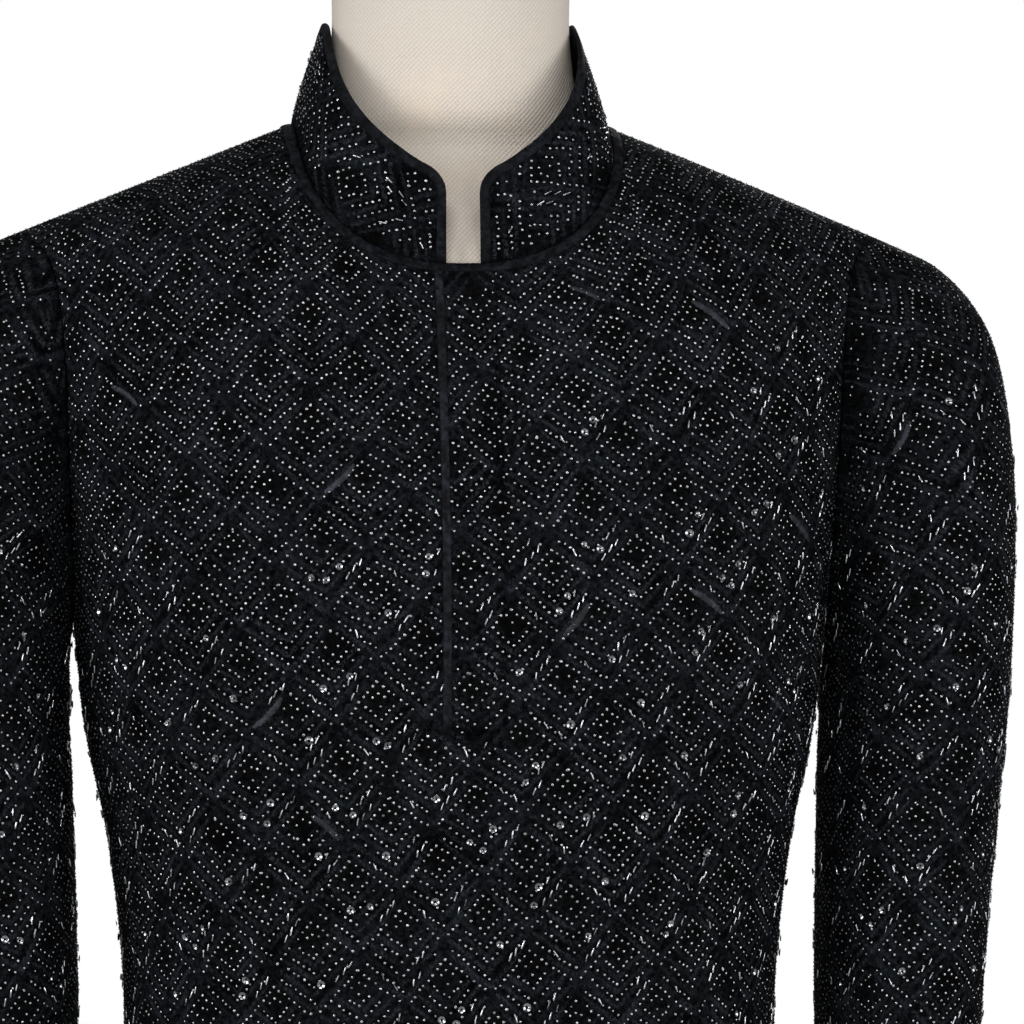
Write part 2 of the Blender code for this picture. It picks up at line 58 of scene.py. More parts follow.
camera = bpy.data.objects.new("camera", bpy.data.cameras.new("camera"))
bpy.context.scene.collection.objects.link(camera)
to_right = np.array([math.cos(VIEW_TURN), -math.sin(VIEW_TURN), 0])
forward = np.array([math.sin(VIEW_TURN), math.cos(VIEW_TURN), 0])
camera.location = to_right * VIEW_ACROSS - forward * VIEW_DISTANCE + np.array([0, 0, VIEW_HEIGHT])
camera.rotation_euler = (math.pi / 2, 0, -VIEW_TURN)
camera.data.sensor_width = SENSOR
camera.data.lens = SENSOR * VIEW_DISTANCE / VIEW_WIDTH
bpy.context.scene.camera = camera


# Stand base
# A round weighted steel plate with a soft rim, powder coated black. The pole screws into its middle.
BASE_RADIUS = 0.160
BASE_HEIGHT = 0.014
POLE_RADIUS = 0.0125


def piece(name, mesh, *materials):
    """Links a mesh as a piece of the object, with its materials."""
    obj = bpy.data.objects.new(name, mesh)
    bpy.context.scene.collection.objects.link(obj)
    for material in materials:
        mesh.materials.append(material)
    return obj


def turned(name, profile, material, steps, centre_y=0.0):
    """A turned piece from a profile of (radius, height) that runs from top to bottom."""
    mesh = bpy.data.meshes.new(name)
    edges = [(i, i + 1) for i in range(len(profile) - 1)]
    mesh.from_pydata([(radius, 0, height) for radius, height in profile], edges, [])
    obj = piece(name, mesh, material)
    obj.location = (0, centre_y, 0)
    screw = obj.modifiers.new("turn", "SCREW")
    screw.steps = screw.render_steps = steps
    screw.use_merge_vertices = True
    screw.merge_threshold = 0.00005
    screw.use_smooth_shade = True
    return obj


def rounded(profile, radius, steps=4):
    """The same profile with each inner corner cut round."""
    points = [np.array(point, float) for point in profile]
    result = [profile[0]]
    for before, corner, after in zip(points, points[1:], points[2:]):
        back, on = before - corner, after - corner
        reach = min(radius, np.linalg.norm(back) * 0.45, np.linalg.norm(on) * 0.45)
        start = corner + back / np.linalg.norm(back) * reach
        end = corner + on / np.linalg.norm(on) * reach
        for k in range(steps + 1):
            t = k / steps
            result.append(tuple(start * (1 - t) ** 2 + corner * 2 * t * (1 - t) + end * t * t))
    return result + [profile[-1]]


def calc(tree, operation, *values):
    """A Math node; numbers go on its sockets and outputs are linked to them."""
    node = tree.nodes.new("ShaderNodeMath")
    node.operation = operation
    for socket, value in zip(node.inputs, values):
        if isinstance(value, (int, float)):
            socket.default_value = value
        else:
            tree.links.new(value, socket)
    return node.outputs[0]


def group_tree(name, inputs, outputs):
    """An empty shader group with its sockets: (name, kind, value) going in and (name, kind) coming out."""
    tree = bpy.data.node_groups.new(name, "ShaderNodeTree")
    for label, kind, value in inputs:
        socket = tree.interface.new_socket(name=label, in_out="INPUT", socket_type=kind)
        if value is not None:
            socket.default_value = value
    for label, kind in outputs:
        tree.interface.new_socket(name=label, in_out="OUTPUT", socket_type=kind)
    return tree, tree.nodes.new("NodeGroupInput").outputs, tree.nodes.new("NodeGroupOutput").inputs


def mixed(tree, share, low, high):
    """A colour between two, by a share that is linked."""
    node = tree.nodes.new("ShaderNodeMix")
    node.data_type = "RGBA"
    tree.links.new(share, node.inputs["Factor"])
    for socket, colour in ((node.inputs[6], low), (node.inputs[7], high)):
        if isinstance(colour, tuple):
            socket.default_value = (*colour, 1)
        else:
            tree.links.new(colour, socket)
    return node.outputs[2]


def noise(tree, vector, scale, detail=2.0, roughness=0.5):
    """A noise texture whose scale is in bumps to a metre, or linked."""
    node = tree.nodes.new("ShaderNodeTexNoise")
    tree.links.new(vector, node.inputs["Vector"])
    if isinstance(scale, (int, float)):
        node.inputs["Scale"].default_value = scale
    else:
        tree.links.new(scale, node.inputs["Scale"])
    node.inputs["Detail"].default_value = detail
    node.inputs["Roughness"].default_value = roughness
    return node.outputs["Fac"]


def build_mottle():
    """Uneven finish: a share from 0 to 1 that wanders over the surface, soft and fine together."""
    tree, given, out = group_tree(
        "mottle",
        [("Vector", "NodeSocketVector", None), ("Scale", "NodeSocketFloat", 30.0),
         ("Contrast", "NodeSocketFloat", 1.5)],
        [("Share", "NodeSocketFloat")],
    )
    wide = noise(tree, given["Vector"], given["Scale"], 4.0, 0.6)
    centred = calc(tree, "MULTIPLY", calc(tree, "SUBTRACT", wide, 0.5), given["Contrast"])
    share = calc(tree, "ADD", centred, 0.5)
    clamp = tree.nodes.new("ShaderNodeClamp")
    tree.links.new(share, clamp.inputs["Value"])
    tree.links.new(clamp.outputs[0], out["Share"])
    return tree


mottle_group = build_mottle()


class Finish:
    """A Principled material whose constants sit on its own sockets."""

    def __init__(self, name, **sockets):
        self.material = bpy.data.materials.new(name)
        self.material.use_nodes = True
        self.tree = self.material.node_tree
        self.shader = self.tree.nodes["Principled BSDF"]
        for label, value in sockets.items():
            self.shader.inputs[label.replace("_", " ")].default_value = value

    def coordinates(self, kind="Object"):
        found = self.tree.nodes.get("Texture Coordinate") or self.tree.nodes.new("ShaderNodeTexCoord")
        return found.outputs[kind]

    def group(self, tree, **values):
        node = self.tree.nodes.new("ShaderNodeGroup")
        node.node_tree = tree
        for label, value in values.items():
            socket = node.inputs[label.replace("_", " ")]
            if isinstance(value, (int, float)):
                socket.default_value = value
            else:
                self.tree.links.new(value, socket)
        return node.outputs

    def mottle(self, scale, contrast):
        """The uneven share of the finish, by its bumps to a metre and its contrast."""
        return self.group(mottle_group, Vector=self.coordinates(), Scale=scale, Contrast=contrast)["Share"]

    def double_mottle(self, fine, broad, scale, start):
        """Fine unevenness, made stronger and weaker by a broad one."""
        fine_share, broad_share = self.mottle(*fine), self.mottle(*broad)
        strength = calc(self.tree, "MULTIPLY_ADD", broad_share, scale, start)
        return calc(self.tree, "MULTIPLY", fine_share, strength)

    def feed(self, label, output):
        self.tree.links.new(output, self.shader.inputs[label])

    def ranged(self, label, share, low, high):
        """Feeds a number between two, by a linked share."""
        node = self.tree.nodes.new("ShaderNodeMapRange")
        self.tree.links.new(share, node.inputs["Value"])
        node.inputs["To Min"].default_value = low
        node.inputs["To Max"].default_value = high
        self.feed(label, node.outputs["Result"])

    def bump(self, height, distance, strength=1.0):
        node = self.tree.nodes.new("ShaderNodeBump")
        node.inputs["Distance"].default_value = distance
        node.inputs["Strength"].default_value = strength
        self.tree.links.new(height, node.inputs["Height"])
        self.feed("Normal", node.outputs["Normal"])


def powder_coat(name):
    finish = Finish(name, Metallic=0.0, Specular_IOR_Level=0.45)
    place = finish.coordinates()
    uneven = finish.mottle(55.0, 1.2)
    finish.feed("Base Color", mixed(finish.tree, uneven, (0.018, 0.018, 0.019), (0.030, 0.030, 0.032)))
    finish.ranged("Roughness", uneven, 0.42, 0.58)
    finish.bump(noise(finish.tree, place, 1400.0, 2.0), 0.00018)
    return finish.material


stand_finish = powder_coat("powder coat")
rim, top = BASE_RADIUS, BASE_HEIGHT
plate_profile = [(0, top), (POLE_RADIUS + 0.016, top), (rim - 0.012, top - 0.003), (rim, top - 0.009)]
plate_profile += [(rim, 0.0), (0, 0.0)]
base = turned("base_plate", rounded(plate_profile, 0.004), stand_finish, steps=96)
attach(base, "root")
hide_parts("stand_base")


# Stand pole
# A steel tube with a screwed foot collar and a round flange under the bust, powder coated like the plate.
FORM_BOTTOM_Z = 0.800
FLANGE_RADIUS = 0.034
STAND_GAP = 0.0003

top, bottom = FORM_BOTTOM_Z - STAND_GAP, BASE_HEIGHT + STAND_GAP
pole_profile = [(0, top), (FLANGE_RADIUS, top), (FLANGE_RADIUS, top - 0.004)]
pole_profile += [(POLE_RADIUS + 0.003, top - 0.010), (POLE_RADIUS, top - 0.016)]
pole_profile += [(POLE_RADIUS, bottom + 0.020), (POLE_RADIUS + 0.006, bottom + 0.016)]
pole_profile += [(POLE_RADIUS + 0.006, bottom), (0, bottom)]
pole = turned("stand_tube", rounded(pole_profile, 0.0016), stand_finish, steps=48)
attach(pole, "root")
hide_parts("stand_pole")


# Dress form
# A limbless padded bust covered in unbleached linen, cut on the slant so that its threads run diagonally.
# Height, half width, front y, back y, squareness
FORM_SECTIONS = (
    (0.800, 0.1500, -0.1000, 0.1040, 2.2),
    (0.812, 0.1580, -0.1080, 0.1100, 2.2),
    (0.860, 0.1600, -0.1100, 0.1060, 2.2),
    (0.930, 0.1520, -0.1030, 0.0960, 2.2),
    (1.000, 0.1460, -0.0990, 0.0840, 2.2),
    (1.080, 0.1560, -0.1060, 0.0920, 2.2),
    (1.195, 0.1740, -0.1200, 0.1040, 2.2),
    (1.280, 0.1790, -0.1100, 0.1040, 2.2),
    (1.340, 0.1810, -0.0920, 0.0960, 2.2),
    (1.385, 0.1805, -0.0730, 0.0830, 2.2),
    (1.412, 0.1780, -0.0600, 0.0750, 2.2),
    (1.420, 0.1750, -0.0550, 0.0720, 2.1),
    (1.430, 0.1561, -0.0500, 0.0700, 1.9),
    (1.440, 0.1313, -0.0450, 0.0640, 1.8),
    (1.450, 0.1045, -0.0440, 0.0590, 1.8),
    (1.456, 0.0870, -0.0480, 0.0550, 1.9),
    (1.4605, 0.0745, -0.0520, 0.0490, 2.0),
    (1.475, 0.0680, -0.0570, 0.0470, 2.0),
    (1.495, 0.0642, -0.0602, 0.0452, 2.0),
    (1.560, 0.0641, -0.0620, 0.0430, 2.0),
    (1.604, 0.0641, -0.0630, 0.0420, 2.0),
    (1.610, 0.0610, -0.0595, 0.0380, 2.0),
)
FORM_TOP_Z = FORM_SECTIONS[-1][0]
FORM_COLUMNS = 96
FORM_STEP = 0.006  # how far apart its rows are
LINEN_THREADS = 766.0  # threads to a metre
LINEN_LIGHT = (0.550, 0.504, 0.453)
LINEN_DARK = (0.41, 0.36, 0.305)
LINEN_STAIN = (0.62, 0.50, 0.38)
LINEN_PAINTED_SHADE = (0.36, 0.33, 0.297)  # painted shade on the neck, darker upward to even out the key light on its top
PAINTED_SHADE_FROM_Z = 1.450
PAINTED_SHADE_SHARE = 0.5


def reading(table, column, at):
    """One column of a table as a smooth curve over its first column, read at a value."""
    rows = np.array(table, float)
    x, y = rows[:, 0], rows[:, column]
    slope = np.gradient(y, x)
    at = min(max(at, x[0]), x[-1])
    i = min(int(np.searchsorted(x, at, side="right")) - 1, len(x) - 2)
    span = x[i + 1] - x[i]
    t = (at - x[i]) / span
    start = (1 + 2 * t) * (1 - t) ** 2 * y[i] + t * (1 - t) ** 2 * span * slope[i]
    end = t * t * (3 - 2 * t) * y[i + 1] + t * t * (t - 1) * span * slope[i + 1]
    return float(start + end)


def grid_mesh(name, grid, across, along, ends=False):
    """A mesh from a grid whose rows run up and whose columns run right as seen from outside.

    Its UV map holds lengths. A closed tube repeats its first column as its last, and is welded there.
    """
    rows, columns = grid.shape[:2]
    faces = []
    for i in range(rows - 1):
        for j in range(columns - 1):
            low, high = i * columns + j, (i + 1) * columns + j
            faces.append((low, low + 1, high + 1, high))
    if ends:
        faces.append(tuple(reversed(range(columns - 1))))
        faces.append(tuple((rows - 1) * columns + j for j in range(columns - 1)))
    mesh = bpy.data.meshes.new(name)
    mesh.from_pydata(grid.reshape(-1, 3).tolist(), [], faces)
    corners = np.empty(len(mesh.loops), dtype=np.int32)
    mesh.loops.foreach_get("vertex_index", corners)
    layer = mesh.uv_layers.new(name="lengths")
    places = np.stack([across.reshape(-1), along.reshape(-1)], axis=1)[corners]
    layer.uv.foreach_set("vector", places.astype(np.float32).reshape(-1))
    if np.allclose(grid[:, 0], grid[:, -1], atol=1e-6):
        shape = bmesh.new()
        shape.from_mesh(mesh)
        bmesh.ops.remove_doubles(shape, verts=shape.verts[:], dist=1e-6)
        shape.to_mesh(mesh)
        shape.free()
    mesh.shade_smooth()
    return mesh


def closed_up(mesh):
    """Welds a closed mesh where its rows meet, and turns its faces outward."""
    shape = bmesh.new()
    shape.from_mesh(mesh)
    bmesh.ops.remove_doubles(shape, verts=shape.verts[:], dist=1e-6)
    bmesh.ops.recalc_face_normals(shape, faces=shape.faces[:])
    shape.to_mesh(mesh)
    shape.free()


def lengths(grid, level=False):
    """Lengths along the rows, in plan where level is set, and up the columns from the lowest row."""
    across = np.linalg.norm(np.diff(grid[..., :2] if level else grid, axis=1), axis=2).cumsum(axis=1)
    across = np.concatenate([np.zeros((grid.shape[0], 1)), across], axis=1)
    across -= across[:, [grid.shape[1] // 2]]
    along = np.linalg.norm(np.diff(grid, axis=0), axis=2).cumsum(axis=0)
    along = np.concatenate([np.zeros((1, grid.shape[1])), along], axis=0)
    return across, along


def build_weave():
    """Plain weave from lengths in metres: a height from 0 to 1, and the slubs of its uneven threads."""
    tree, given, out = group_tree(
        "plain weave",
        [("Vector", "NodeSocketVector", None), ("Threads", "NodeSocketFloat", 900.0),
         ("Twill", "NodeSocketFloat", 0.0)],
        [("Height", "NodeSocketFloat"), ("Slubs", "NodeSocketFloat")],
    )
    parts = tree.nodes.new("ShaderNodeSeparateXYZ")
    tree.links.new(given["Vector"], parts.inputs[0])
    turns = [calc(tree, "MULTIPLY", calc(tree, "MULTIPLY", parts.outputs[axis], given["Threads"]), math.pi)
             for axis in ("X", "Y")]
    rising = calc(tree, "COSINE", calc(tree, "SUBTRACT", turns[0], turns[1]))
    falling = calc(tree, "COSINE", calc(tree, "ADD", turns[0], turns[1]))
    rising = calc(tree, "MULTIPLY", rising, calc(tree, "ADD", 1.0, given["Twill"]))
    falling = calc(tree, "MULTIPLY", falling, calc(tree, "SUBTRACT", 1.0, given["Twill"]))
    height = calc(tree, "MULTIPLY_ADD", calc(tree, "SUBTRACT", rising, falling), 0.25, 0.5)
    tree.links.new(height, out["Height"])
    stretch = []
    for scale in ((0.06, 1.0, 1.0), (1.0, 0.06, 1.0)):
        long = tree.nodes.new("ShaderNodeVectorMath")
        long.operation = "MULTIPLY"
        tree.links.new(given["Vector"], long.inputs[0])
        long.inputs[1].default_value = scale
        stretch.append(noise(tree, long.outputs[0], given["Threads"], 1.0))
    tree.links.new(calc(tree, "MULTIPLY", calc(tree, "ADD", stretch[0], stretch[1]), 0.5), out["Slubs"])
    return tree


weave_group = build_weave()


def linen():
    finish = Finish("unbleached linen", Metallic=0.0, Specular_IOR_Level=0.15, Roughness=0.9)
    cloth = finish.group(weave_group, Vector=finish.coordinates("UV"), Threads=LINEN_THREADS, Twill=0.4)
    stain = finish.mottle(24.0, 2.6)
    threads = mixed(finish.tree, cloth["Height"], LINEN_DARK, LINEN_LIGHT)
    slubs = calc(finish.tree, "MULTIPLY_ADD", cloth["Slubs"], 0.8, 0.4)
    slubbed = mixed(finish.tree, slubs, LINEN_DARK, threads)
    share = calc(finish.tree, "MULTIPLY", calc(finish.tree, "SUBTRACT", stain, 0.55), 0.7)
    share = calc(finish.tree, "MAXIMUM", share, 0.0)
    # Painted shade: above the neck's base the linen turns darker upward, to even out the key light on the
    # top of the neck.
    parts = finish.tree.nodes.new("ShaderNodeSeparateXYZ")
    finish.tree.links.new(finish.coordinates(), parts.inputs[0])
    above = calc(finish.tree, "SUBTRACT", parts.outputs["Z"], PAINTED_SHADE_FROM_Z)
    painted_shade = calc(finish.tree, "MAXIMUM", calc(finish.tree, "MULTIPLY", above, 7.0), 0.0)
    painted_shade = calc(finish.tree, "MINIMUM", painted_shade, PAINTED_SHADE_SHARE)
    stained = mixed(finish.tree, share, slubbed, LINEN_STAIN)
    finish.feed("Base Color", mixed(finish.tree, painted_shade, stained, LINEN_PAINTED_SHADE))
    finish.bump(calc(finish.tree, "ADD", cloth["Height"], cloth["Slubs"]), 0.0002)
    return finish.material


def squarish(turn, power):
    """A point of a squarish oval one across, at an angle round it."""
    return [math.copysign(abs(value) ** power, value) for value in (math.cos(turn), math.sin(turn))]


form_heights = [section[0] for section in FORM_SECTIONS]
form_rows = []
for low, high in zip(form_heights, form_heights[1:]):
    steps = max(1, round((high - low) / FORM_STEP))
    form_rows += [low + (high - low) * k / steps for k in range(steps)]
form_rows.append(FORM_TOP_Z)
form_grid = []
for height in form_rows:
    width, front_y, back_y, power = (reading(FORM_SECTIONS, column, height) for column in range(1, 5))
    ring = []
    for k in range(FORM_COLUMNS + 1):
        turn = 2 * math.pi * (k % FORM_COLUMNS) / FORM_COLUMNS + math.pi / 2
        along, across = squarish(turn, 2 / power)
        ring.append((width * along, (front_y + back_y) / 2 + (back_y - front_y) / 2 * across, height))
    form_grid.append(ring)
form_grid = np.array(form_grid)
form_mesh = grid_mesh("linen_bust", form_grid, lengths(form_grid)[0], form_grid[..., 2], ends=True)
form = piece("linen_bust", form_mesh, linen())
form.data.set_sharp_from_angle(angle=math.radians(60))
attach(form, "root")
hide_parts("form_torso")


# Neck cap
# A turned and oiled wooden disc with a small finial, screwed down on the neck of the bust.
def oiled_wood():
    finish = Finish("oiled wood", Metallic=0.0, Specular_IOR_Level=0.4)
    stretched = finish.tree.nodes.new("ShaderNodeMapping")
    finish.tree.links.new(finish.coordinates(), stretched.inputs["Vector"])
    stretched.inputs["Scale"].default_value = (1.0, 0.16, 1.0)
    rings = finish.tree.nodes.new("ShaderNodeTexWave")
    rings.inputs["Scale"].default_value = 42.0
    rings.inputs["Distortion"].default_value = 3.0
    rings.inputs["Detail"].default_value = 3.0
    finish.tree.links.new(stretched.outputs[0], rings.inputs["Vector"])
    fine = noise(finish.tree, stretched.outputs[0], 900.0, 3.0)
    ringed = calc(finish.tree, "MULTIPLY", rings.outputs["Fac"], 0.5)
    grain = calc(finish.tree, "MULTIPLY_ADD", fine, 0.5, ringed)
    finish.feed("Base Color", mixed(finish.tree, grain, (0.11, 0.052, 0.022), (0.27, 0.145, 0.065)))
    finish.ranged("Roughness", grain, 0.5, 0.36)
    finish.bump(fine, 0.0002)
    return finish.material


cap_bottom = FORM_TOP_Z + STAND_GAP
cap_profile = [(0, cap_bottom + 0.046), (0.009, cap_bottom + 0.045), (0.013, cap_bottom + 0.038)]
cap_profile += [(0.010, cap_bottom + 0.030), (0.009, cap_bottom + 0.022), (0.016, cap_bottom + 0.017)]
cap_profile += [(0.038, cap_bottom + 0.013), (0.050, cap_bottom + 0.007)]
cap_profile += [(0.051, cap_bottom), (0, cap_bottom)]
cap = turned("wooden_cap", rounded(cap_profile, 0.003), oiled_wood(), steps=72, centre_y=-0.009)
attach(cap, "root")
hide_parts("neck_cap")


# Coat front
# One panel of black cloth on a thin backing, thread-worked all over in rows of diamonds before it was cut.
# It hangs from the shoulder seams, and soft folds open in the skirt below the waist.
CLOTH = 0.0020
SEAM_GAP = 0.0004
HEM_Z = 0.430
SLIT_TOP_Z = 0.780
SLIT_OPENING = 0.014
UNDERARM_Z = 1.195
SIDE_NECK_X = 0.084
SIDE_NECK_Z = 1.462
FRONT_NECK_DROP = 0.077
BACK_NECK_DROP = 0.012
FRONT_NECK_POWER = 2.35
BACK_NECK_POWER = 2.0
SHOULDER_TIP_X = 0.240
SHOULDER_FALL = 0.4036
SHOULDER_RIDGE_Y = 0.012
NECK_MIDDLE = (0.0, -0.006, 0.0)
SECTION_POWER = 2.4
PLACKET_HALF_WIDTH = 0.0157
PLACKET_END_Z = 1.140

# Body below the underarm: height, half width, depth in front, depth behind
BODY_SECTIONS = (
    (0.430, 0.2260, 0.168, 0.152),
    (0.600, 0.2120, 0.155, 0.144),
    (0.780, 0.1960, 0.142, 0.136),
    (0.900, 0.1800, 0.130, 0.120),
    (0.990, 0.1720, 0.123, 0.107),
    (1.045, 0.1755, 0.125, 0.109),
    (1.090, 0.1818, 0.130, 0.115),
    (1.140, 0.1922, 0.134, 0.122),
    (1.195, 0.1985, 0.136, 0.126),
)

# Armhole edge on its way up: share of the way, distance from the middle, half width the chest aims at
ARMHOLE = (
    (0.00, 0.1985, 0.1985),
    (0.20, 0.2020, 0.2075),
    (0.45, 0.2050, 0.2180),
    (0.70, 0.2130, 0.2330),
    (0.88, 0.2270, 0.2490),
    (1.00, 0.2400, 0.2620),
)

# Soft folds of the skirt: distance from the panel's middle, width, depth, height where they fade out
FRONT_FOLDS = (
    (-0.150, 0.032, 0.009, 0.86),
    (-0.066, 0.026, 0.006, 0.74),
    (0.018, 0.030, 0.004, 0.66),
    (0.094, 0.028, 0.007, 0.80),
    (0.172, 0.026, 0.009, 0.88),
)
BACK_FOLDS = (
    (-0.168, 0.028, 0.008, 0.88),
    (-0.080, 0.030, 0.007, 0.92),
    (0.004, 0.034, 0.009, 0.94),
    (0.088, 0.028, 0.006, 0.84),
    (0.160, 0.030, 0.008, 0.90),
)

# Soft creases of a panel: from x, z to x, z, half width, depth (a ridge where it is below 0)
FRONT_CREASES = (
    (-0.188, 1.215, -0.105, 1.150, 0.010, 0.0026),
    (-0.190, 1.180, -0.120, 1.105, 0.008, 0.0020),
    (-0.186, 1.250, -0.120, 1.235, 0.009, -0.0018),
    (-0.196, 1.290, -0.150, 1.262, 0.008, 0.0022),
    (-0.205, 1.330, -0.165, 1.306, 0.008, 0.0018),
    (0.188, 1.212, 0.112, 1.158, 0.010, 0.0025),
    (0.190, 1.176, 0.128, 1.100, 0.008, 0.0020),
    (0.198, 1.285, 0.150, 1.268, 0.008, 0.0020),
    (-0.060, 1.372, -0.115, 1.300, 0.009, 0.0014),
    (0.062, 1.370, 0.110, 1.310, 0.009, 0.0013),
    (-0.030, 1.135, -0.090, 1.085, 0.010, 0.0016),
    (0.022, 1.130, 0.070, 1.070, 0.010, 0.0014),
    (-0.140, 1.020, -0.060, 1.000, 0.012, 0.0020),
    (0.050, 1.012, 0.140, 1.030, 0.012, 0.0020),
    (-0.165, 0.985, -0.110, 0.968, 0.009, 0.0018),
    (0.100, 0.962, 0.168, 0.988, 0.009, 0.0018),
)
BACK_CREASES = (
    (-0.180, 1.220, -0.100, 1.170, 0.011, 0.0028),
    (0.182, 1.214, 0.104, 1.160, 0.011, 0.0028),
    (-0.188, 1.180, -0.118, 1.120, 0.009, 0.0022),
    (0.186, 1.176, 0.120, 1.110, 0.009, 0.0022),
    (-0.120, 1.030, 0.020, 1.012, 0.013, 0.0026),
    (0.010, 0.992, 0.130, 1.008, 0.013, 0.0026),
    (-0.060, 0.966, 0.060, 0.960, 0.010, 0.0018),
    (-0.090, 1.390, -0.030, 1.350, 0.010, 0.0014),
    (0.090, 1.388, 0.030, 1.346, 0.010, 0.0014),
    (-0.160, 1.320, -0.100, 1.260, 0.012, 0.0018),
    (0.160, 1.316, 0.104, 1.250, 0.012, 0.0018),
)

# A panel's columns under the neckline: distance from the middle at the neckline, and further down
NECK_COLUMNS = (
    (0.0157, 0.0157),
    (0.0300, 0.0300),
    (0.0450, 0.0450),
    (0.0590, 0.0580),
    (0.0710, 0.0690),
    (0.0790, 0.0780),
    (0.0820, 0.0860),
    (0.0834, 0.0930),
    (0.0839, 0.0990),
    (0.0840, 0.1050),
)
SIDE_COLUMNS = 24
CLOTH_STEP = 0.0065  # how far apart the shell's rows are

# The worked pattern: a diamond is spanned by two sides, given as (across, up) on the flat cloth
SIDE_A = np.array([0.0246, -0.0262])
SIDE_B = np.array([-0.0203, -0.0322])
MOTIF_CENTRE = 0.19  # of the way down from the diamond's top corner
FLARE = 0.18  # how much flatter its rows run than its sides
STRAY = 0.0010  # how far the hand-worked rows stray, slowly
FINE_STRAY = 0.0006
ANCHOR = (-0.1158, 1.1856)  # x and z of one motif's middle bead on the front
GROUND = (0.0005, 0.0005, 0.0007)
GROUND_LIFTED = (0.0064, 0.0077, 0.0093)
EYE = (0.0015, 0.0014, 0.0011)  # the close black stitching round each motif's middle
THREAD = (0.0255, 0.0295, 0.0345)
SATIN = (0.0230, 0.0260, 0.0350)


def smooth_step(t):
    t = min(max(t, 0.0), 1.0)
    return t * t * (3 - 2 * t)


def bulge(share, power):
    """Depth of a squarish oval at a share of its half width, as a share of its full depth."""
    return max(1 - min(abs(share), 1.0) ** power, 0.0) ** (1 / power)


def seam_height(x):
    """Height of the shoulder line, which runs on over the neck in a round arch as a guide."""
    if abs(x) < SIDE_NECK_X:
        return SIDE_NECK_Z + (SIDE_NECK_X**2 - x * x) / (2 * SIDE_NECK_X) * SHOULDER_FALL
    return SIDE_NECK_Z - (abs(x) - SIDE_NECK_X) * SHOULDER_FALL


def profile_power(side, x):
    """How squarely the panel rises to the shoulder: the middle of the chest slopes back to the neck."""
    return 2.1 if side > 0 else 1.6 + 0.8 * smooth_step(abs(x) / 0.15)


def rise_to_edge(side, x):
    """How far up its profile, from 0 to 1, a column ends: at the neckline or at the shoulder seam."""
    if abs(x) >= SIDE_NECK_X:
        return 1.0
    drop, power = (FRONT_NECK_DROP, FRONT_NECK_POWER) if side < 0 else (BACK_NECK_DROP, BACK_NECK_POWER)
    neckline = SIDE_NECK_Z - drop * bulge(x / SIDE_NECK_X, power)
    reach = (neckline - UNDERARM_Z) / (seam_height(x) - UNDERARM_Z)
    return math.asin(reach ** (profile_power(side, x) / 2)) / (math.pi / 2)


def chest_point(side, x, aim, rise):
    """A point of the coat's outer face above the underarm: rise is its share of the way to the shoulder."""
    depth = BODY_SECTIONS[-1][2 if side < 0 else 3]
    level = side * depth * bulge(x / aim, SECTION_POWER)
    power = profile_power(side, x)
    turn = rise * math.pi / 2
    y = SHOULDER_RIDGE_Y + (level - SHOULDER_RIDGE_Y) * max(math.cos(turn), 0) ** (2 / power)
    z = UNDERARM_Z + (seam_height(x) - UNDERARM_Z) * math.sin(turn) ** (2 / power)
    return np.array([x, y, z])


def upper_point(side, column, rise):
    """A point of a body panel from the underarm (rise 0) to its upper edge (rise 1); side is -1 in front.

    A column is 1 or -1 for the wearer's left or right, its distance from the middle at the top and further
    down, and past the neck a share of the way on from there to the panel's edge.
    """
    hand, top, low, share = column
    start = low + (top - low) * rise
    x = start + (reading(ARMHOLE, 1, rise) - start) * share
    top_x = top + (SHOULDER_TIP_X - top) * share
    point = chest_point(side, hand * x, reading(ARMHOLE, 2, rise), rise * rise_to_edge(side, top_x))
    point[1] += side * SEAM_GAP / 2
    return point


def skirt_folds(side, x, z):
    """How far the hanging skirt stands out in its soft folds."""
    out = 0.0
    for middle, width, depth, top in FRONT_FOLDS if side < 0 else BACK_FOLDS:
        lean = middle * (1 + 0.10 * (top - z))
        swell = math.exp(-(((x - lean) / width) ** 2)) - 0.35
        out += depth * smooth_step((top - z) / (top - HEM_Z)) * swell
    return out


def lower_point(side, column, z):
    """A point of a body panel at a height below the underarm."""
    hand, top, low, share = column
    width = reading(BODY_SECTIONS, 1, z)
    depth = reading(BODY_SECTIONS, 2 if side < 0 else 3, z)
    x = hand * (low + (width - low) * share)
    y = side * depth * bulge(x / width, SECTION_POWER)
    out = skirt_folds(side, x, z) * (1 - share**4)
    slit = SLIT_OPENING / 2 * max(0.0, (SLIT_TOP_Z - z) / (SLIT_TOP_Z - HEM_Z)) * share**6
    return np.array([x + out * x / width * 0.5, y + side * (out + SEAM_GAP / 2 + slit), z])


def finer(values, parts):
    """The same row of numbers, or of pairs, with each step cut into equal parts."""
    values = np.array(values, float)
    marks = np.linspace(0, len(values) - 1, (len(values) - 1) * parts + 1)
    if values.ndim == 1:
        return np.interp(marks, range(len(values)), values)
    return np.stack([np.interp(marks, range(len(values)), column) for column in values.T], axis=1)


def panel_columns():
    """Columns of a body panel from the wearer's right to the left."""
    neck = finer([(0.0, 0.0), *NECK_COLUMNS], 2)[1:]
    half = [(1, top, low, 0.0) for top, low in neck]
    half += [(1, *NECK_COLUMNS[-1], 1 - (1 - (i + 1) / SIDE_COLUMNS) ** 1.7) for i in range(SIDE_COLUMNS)]
    return [(-1, *column[1:]) for column in reversed(half)] + [(1, 0.0, 0.0, 0.0)] + half


LOWER_ROWS = np.linspace(HEM_Z, 1.190, round((1.190 - HEM_Z) / CLOTH_STEP))
UPPER_ROWS = np.concatenate([np.linspace(0, 0.94, 44), np.linspace(0.95, 1.0, 6)])


def unit(vectors):
    return vectors / np.linalg.norm(vectors, axis=-1, keepdims=True)


